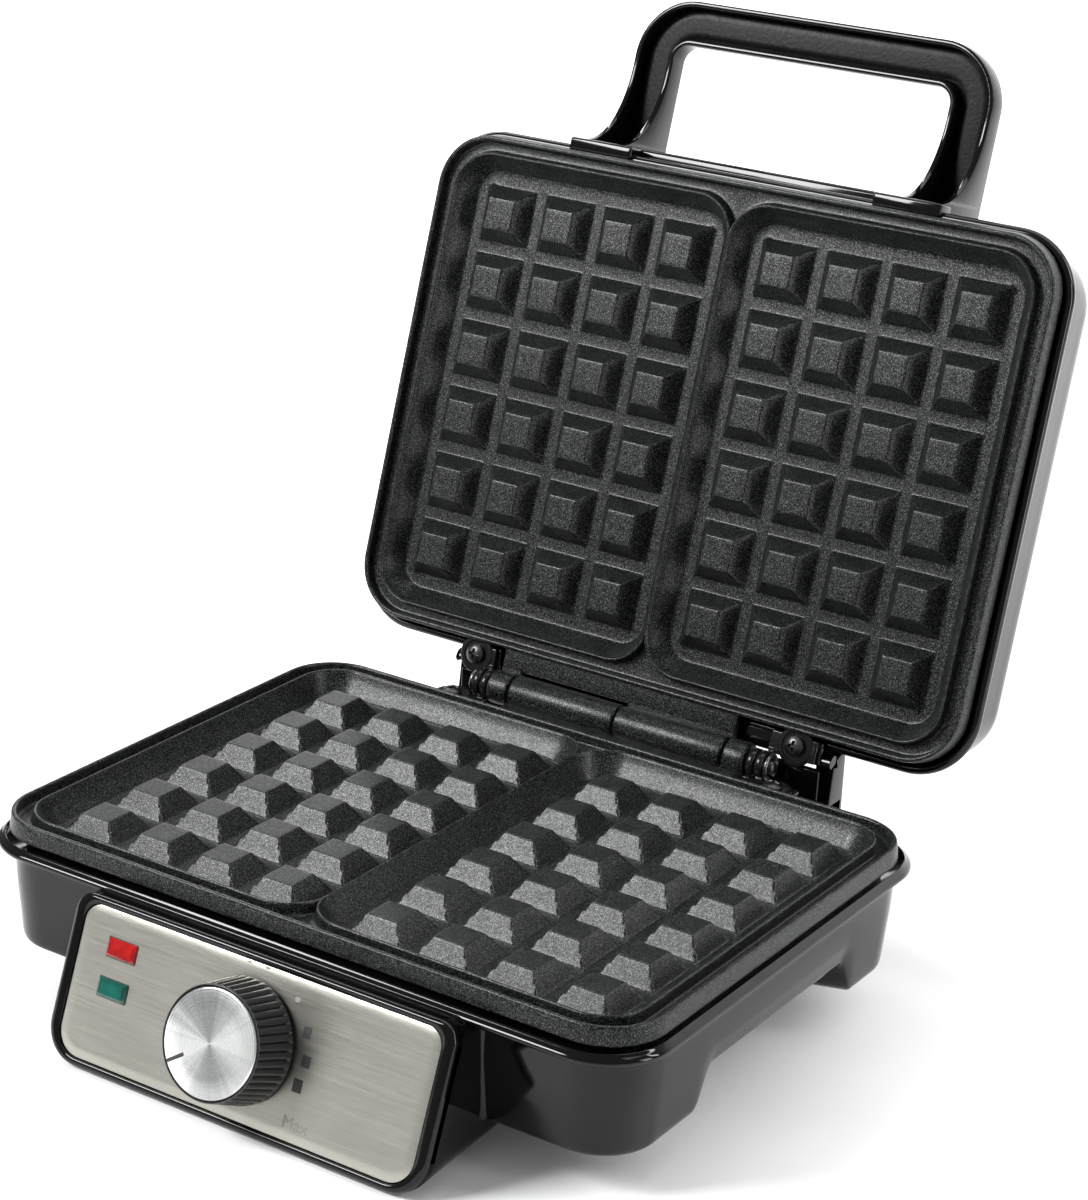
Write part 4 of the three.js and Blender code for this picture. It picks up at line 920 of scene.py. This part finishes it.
def swept(path, sections):
    """Sections of (across, height) points carried along a level path, each square to the path there."""
    step = np.gradient(path, axis=0)
    step /= np.linalg.norm(step, axis=1, keepdims=True)
    side = np.stack([step[:, 1], -step[:, 0]], -1)
    rows = [np.concatenate([point + across * section[:, :1], section[:, 1:]], 1)
            for point, across, section in zip(path, side, sections)]
    return capped(closed(np.stack(rows)))


def handle_hoop():
    """The channel section carried along the hoop, its lower edge following the sweep."""
    path = handle_path()
    return swept(path, [handle_section(low, HANDLE_TOP) * [-1, 1] for low in handle_low(path[:, 1])])


def handle_liner():
    """Satin web on the floor of the hollow."""
    path = handle_path()[3:-3]
    section = np.array([(4.7, 34.5), (4.75, 35.0), (4.6, 36.1), (-4.6, 36.1), (-4.75, 35.0), (-4.7, 34.5),
                        (-4.3, 34.3), (-2, 34.25), (2, 34.25), (4.3, 34.3)])
    return swept(path, [section] * len(path))


# the hoop, the bar across its roots, and a block under each root
handle_parts = [handle_hoop(), round_box((-61.6, -82.0, 12.2), (61.6, -76.2, 36.0), 1.2)]
for x0, x1 in ((-63.8, -41.5), (41.5, 63.8)):
    handle_parts.append(round_box((x0, -81.6, 5.6), (x1, -77.5, 12.8), 0.8))
piece("handle_moulding", [opened(g) for g in handle_parts], "lid", ["handle_shell"],
      gloss_black, 40)
piece("handle_inner_web", [opened(handle_liner())], "lid", ["handle_grip_cover"], web_black,
      40)

# -------------------------------------------------------------------------------------- hinge hardware
SCREW_X, SCREW_Y, SCREW_SHIFT = 57.1, 81.6, 1.4


def eye(x0, x1):
    """Washer-shaped end of an arm round the hinge pin."""
    profile = [(2.2, x0), (4.1, x0), (4.4, x0 + 0.3), (4.4, x1 - 0.3), (4.1, x1), (2.2, x1), (2.2, x0)]
    return along_x(turned(profile, 40), HINGE_Y, HINGE_Z)


def hinge_arm(side, shift):
    """Pressed arm: a tab under the screw, a link and an eye on the pin."""
    inner = (43.4 if side > 0 else 47.9) + 0.8 + shift
    parts = [round_box((inner, 78.6, -4.1), (62.6, 85.6, -2.6), 0.5),
             round_box((inner, 83.6, -4.1), (inner + 2.4, HINGE_Y, -2.4), 0.4), eye(inner, inner + 2.4)]
    boss = turned([(1.5, -4.2), (5.9, -4.2), (6.0, -3.9), (6.0, -2.7), (5.8, -2.35), (5.4, -2.2), (4.4, -2.2),
                   (4.2, -2.5), (1.5, -2.5), (1.5, -4.2)], 40) + [SCREW_X - SCREW_SHIFT * side, SCREW_Y, 0]
    return [g * [side, 1, 1] for g in parts + [boss]]


for name, side in SIDES:
    piece(f"base_arm_{name}", hinge_arm(side, 0), "base", [f"base_hinge_bracket_{name}"],
          arm_black)
    piece(f"lid_arm_{name}", [opened(flipped(g)) for g in hinge_arm(side, 2.9)], "lid",
          [f"lid_hinge_bracket_{name}"], arm_black)


def phillips(x, y, z):
    """Pan-head screw: a dome on a polar grid with a tapered cross sunk in its middle, and its shank."""
    radius = np.concatenate([np.linspace(0, 1.9, 15), np.linspace(2.0, 3.0, 8)])
    angle = np.linspace(0, 2 * math.pi, 73)
    r, a = np.meshgrid(radius, angle, indexing="ij")
    u, v = r * np.cos(a), r * np.sin(a)
    dome = 2.0 - 0.95 * (r / 3.0) ** 2.4
    arm_u = np.clip((0.5 - np.abs(v)) / 0.2, 0, 1) * np.clip((1.75 - np.abs(u)) / 0.4, 0, 1)
    arm_v = np.clip((0.5 - np.abs(u)) / 0.2, 0, 1) * np.clip((1.75 - np.abs(v)) / 0.4, 0, 1)
    top = dome - 1.2 * np.maximum(arm_u, arm_v)
    head = np.stack([u, v, top], -1)
    shank = turned([(3.02, 0.9), (3.0, 0.25), (2.85, 0.0), (1.6, 0.0), (1.6, -7.5), (1.1, -8.0), (0, -8.0)],
                   72)
    return np.concatenate([head, shank]) + [x, y, z]


for name, side in SIDES:
    shape = phillips(SCREW_X * side - SCREW_SHIFT, SCREW_Y, HINGE_Z - 2.6)
    piece(f"base_arm_screw_{name}", [shape], "base", [f"base_bracket_screw_{name}"],
          screw_metal, 35)
    piece(f"lid_arm_screw_{name}", [opened(flipped(shape))], "lid", [f"lid_bracket_screw_{name}"],
          screw_metal, 35)


def wire_clip(side):
    """Spring wire: one open turn round the pin, its tail bent out over the arm."""
    x = 50.6 if side > 0 else 54.6
    angle = np.linspace(-0.35 * math.pi, 1.45 * math.pi, 48)
    y, z = HINGE_Y + 3.5 * np.cos(angle), HINGE_Z + 3.5 * np.sin(angle)
    loop = np.stack([np.full_like(angle, x), y, z], -1)
    tail = loop[-1] + np.outer(np.linspace(0.1, 1, 6), [0.6, 0.4, -2.6])
    return [tube(np.concatenate([loop, tail]) * [side, 1, 1], 0.6)]


for name, side in SIDES:
    piece(f"pin_spring_{name}", wire_clip(side), "base", [f"pin_clip_{name}"], clip_metal, 60)
pin = turned([(0, -56.0), (1.6, -56.0), (2.0, -55.6), (2.0, 51.6), (1.6, 52.0), (0, 52.0)], 32)
piece("hinge_rod", [along_x(pin, HINGE_Y, HINGE_Z)], "base", ["hinge_pin"], screw_metal)

# ---------------------------------------------------------------------------------- carried-over nodes
kept = {
    "bottom_cover": satin_black, "cord_gland": rubber, "lower_heating_element": element_metal,
    "upper_heating_element": element_metal, "lower_reflector": tray_metal, "upper_reflector": tray_metal,
    "power_neon_lamp": lamp_glass, "ready_neon_lamp": lamp_glass, "thermostat_bracket": bright_steel,
    "thermostat_body": cream, "terminal_block": cream, "thermal_fuse": bright_steel,
    "thermostat_shaft": bright_steel,
}
for node, material in kept.items():
    nodes[node].data.materials.clear()
    nodes[node].data.materials.append(material)
for node, obj in nodes.items():
    if "foot_pad" in node or ("screw" in node and not obj.hide_render):
        obj.data.materials.clear()
        obj.data.materials.append(rubber if "foot_pad" in node else screw_metal)

# ---------------------------------------------------------------------------------------------- studio
def pale_floor():
    """Large level sheet that rises behind the object in a quarter-round sweep."""
    x = np.linspace(-4.0, 4.0, 9)
    angle = np.linspace(0, math.pi / 2, 13)
    sweep = np.stack([1.6 + 0.8 * np.sin(angle), 0.8 - 0.8 * np.cos(angle)], -1)
    profile = np.concatenate([[(-4.0, 0.0)], sweep, [(2.4, 4.0)]])
    px, py = np.meshgrid(x, profile[:, 0], indexing="ij")
    pz = np.broadcast_to(profile[None, :, 1], px.shape)
    mesh = bpy.data.meshes.new("studio_floor")
    rows, columns = px.shape
    index = np.arange(rows * columns).reshape(rows, columns)
    quads = np.stack([index[:-1, :-1], index[1:, :-1], index[1:, 1:], index[:-1, 1:]], -1).reshape(-1, 4)
    mesh.from_pydata(np.stack([px, py, pz - 0.0002], -1).reshape(-1, 3).tolist(), [], quads.tolist())
    mesh.polygons.foreach_set("use_smooth", np.ones(len(mesh.polygons), bool))
    look = Look("pale_floor")
    mottle = look.noise(look.place(), 30, 2)
    mesh.materials.append(look.feed(
        Base_Color=look.ramp(mottle, (0.3, (0.9, 0.9, 0.9)), (0.7, (0.92, 0.92, 0.92))),
        Roughness=look.span(mottle, 0.3, 0.7, 0.6, 0.7)))
    add_object("studio_floor", mesh)


pale_floor()


def softbox(name, location, target, width, height, power):
    """A rectangular light at a place in metres, turned so that it faces the target."""
    light = bpy.data.lights.new(name, "AREA")
    light.shape = "RECTANGLE"
    light.size, light.size_y, light.energy = width, height, power
    holder = add_object(name, light)
    holder.location = location
    holder.rotation_mode = "QUATERNION"
    holder.rotation_quaternion = (Vector(target) - Vector(location)).to_track_quat("-Z", "Y")


softbox("key_front_left", (-0.75, -0.95, 0.95), (0, 0, 0.05), 0.55, 0.5, 28)
softbox("overhead", (0.0, 0.4, 1.5), (0, 0, 0.05), 1.4, 0.8, 9)
softbox("right_strip", (1.3, 0.0, 0.45), (0, 0, 0.12), 0.3, 0.9, 7)
softbox("backdrop_left", (-1.3, 0.7, 1.3), (-0.5, 2.4, 0.5), 1.0, 1.0, 54)
softbox("backdrop_right", (1.3, 0.7, 1.3), (0.5, 2.4, 0.5), 1.0, 1.0, 54)
world = bpy.data.worlds.new("studio")
bpy.context.scene.world = world
world.use_nodes = True
world.node_tree.nodes["Background"].inputs[0].default_value = (0.955, 1, 0.965, 1)
world.node_tree.nodes["Background"].inputs[1].default_value = 0.31

# ---------------------------------------------------------------------------------------------- camera
AZIMUTH, ELEVATION, ROLL = (math.radians(v) for v in (32.54, 20.632, 2.775))
CAMERA_AT = np.array([437.692, -645.945, 361.140])
LENS_MM, SENSOR_MM = 91.81167, 36
back = Vector((math.sin(AZIMUTH) * math.cos(ELEVATION), -math.cos(AZIMUTH) * math.cos(ELEVATION),
               math.sin(ELEVATION)))
level = (-back).cross(Vector((0, 0, 1))).normalized()
rise = level.cross(-back)
across = level * math.cos(ROLL) + rise * math.sin(ROLL)
upward = rise * math.cos(ROLL) - level * math.sin(ROLL)
camera = add_object("camera", bpy.data.cameras.new("camera"))
camera.data.lens = LENS_MM
camera.data.sensor_width = SENSOR_MM
camera.data.clip_end = 50
spot = place(CAMERA_AT)
camera.matrix_world = Matrix((
    (across.x, upward.x, back.x, spot[0]), (across.y, upward.y, back.y, spot[1]),
    (across.z, upward.z, back.z, spot[2]), (0, 0, 0, 1)))
bpy.context.scene.camera = camera
bpy.context.scene.view_settings.view_transform = "Standard"
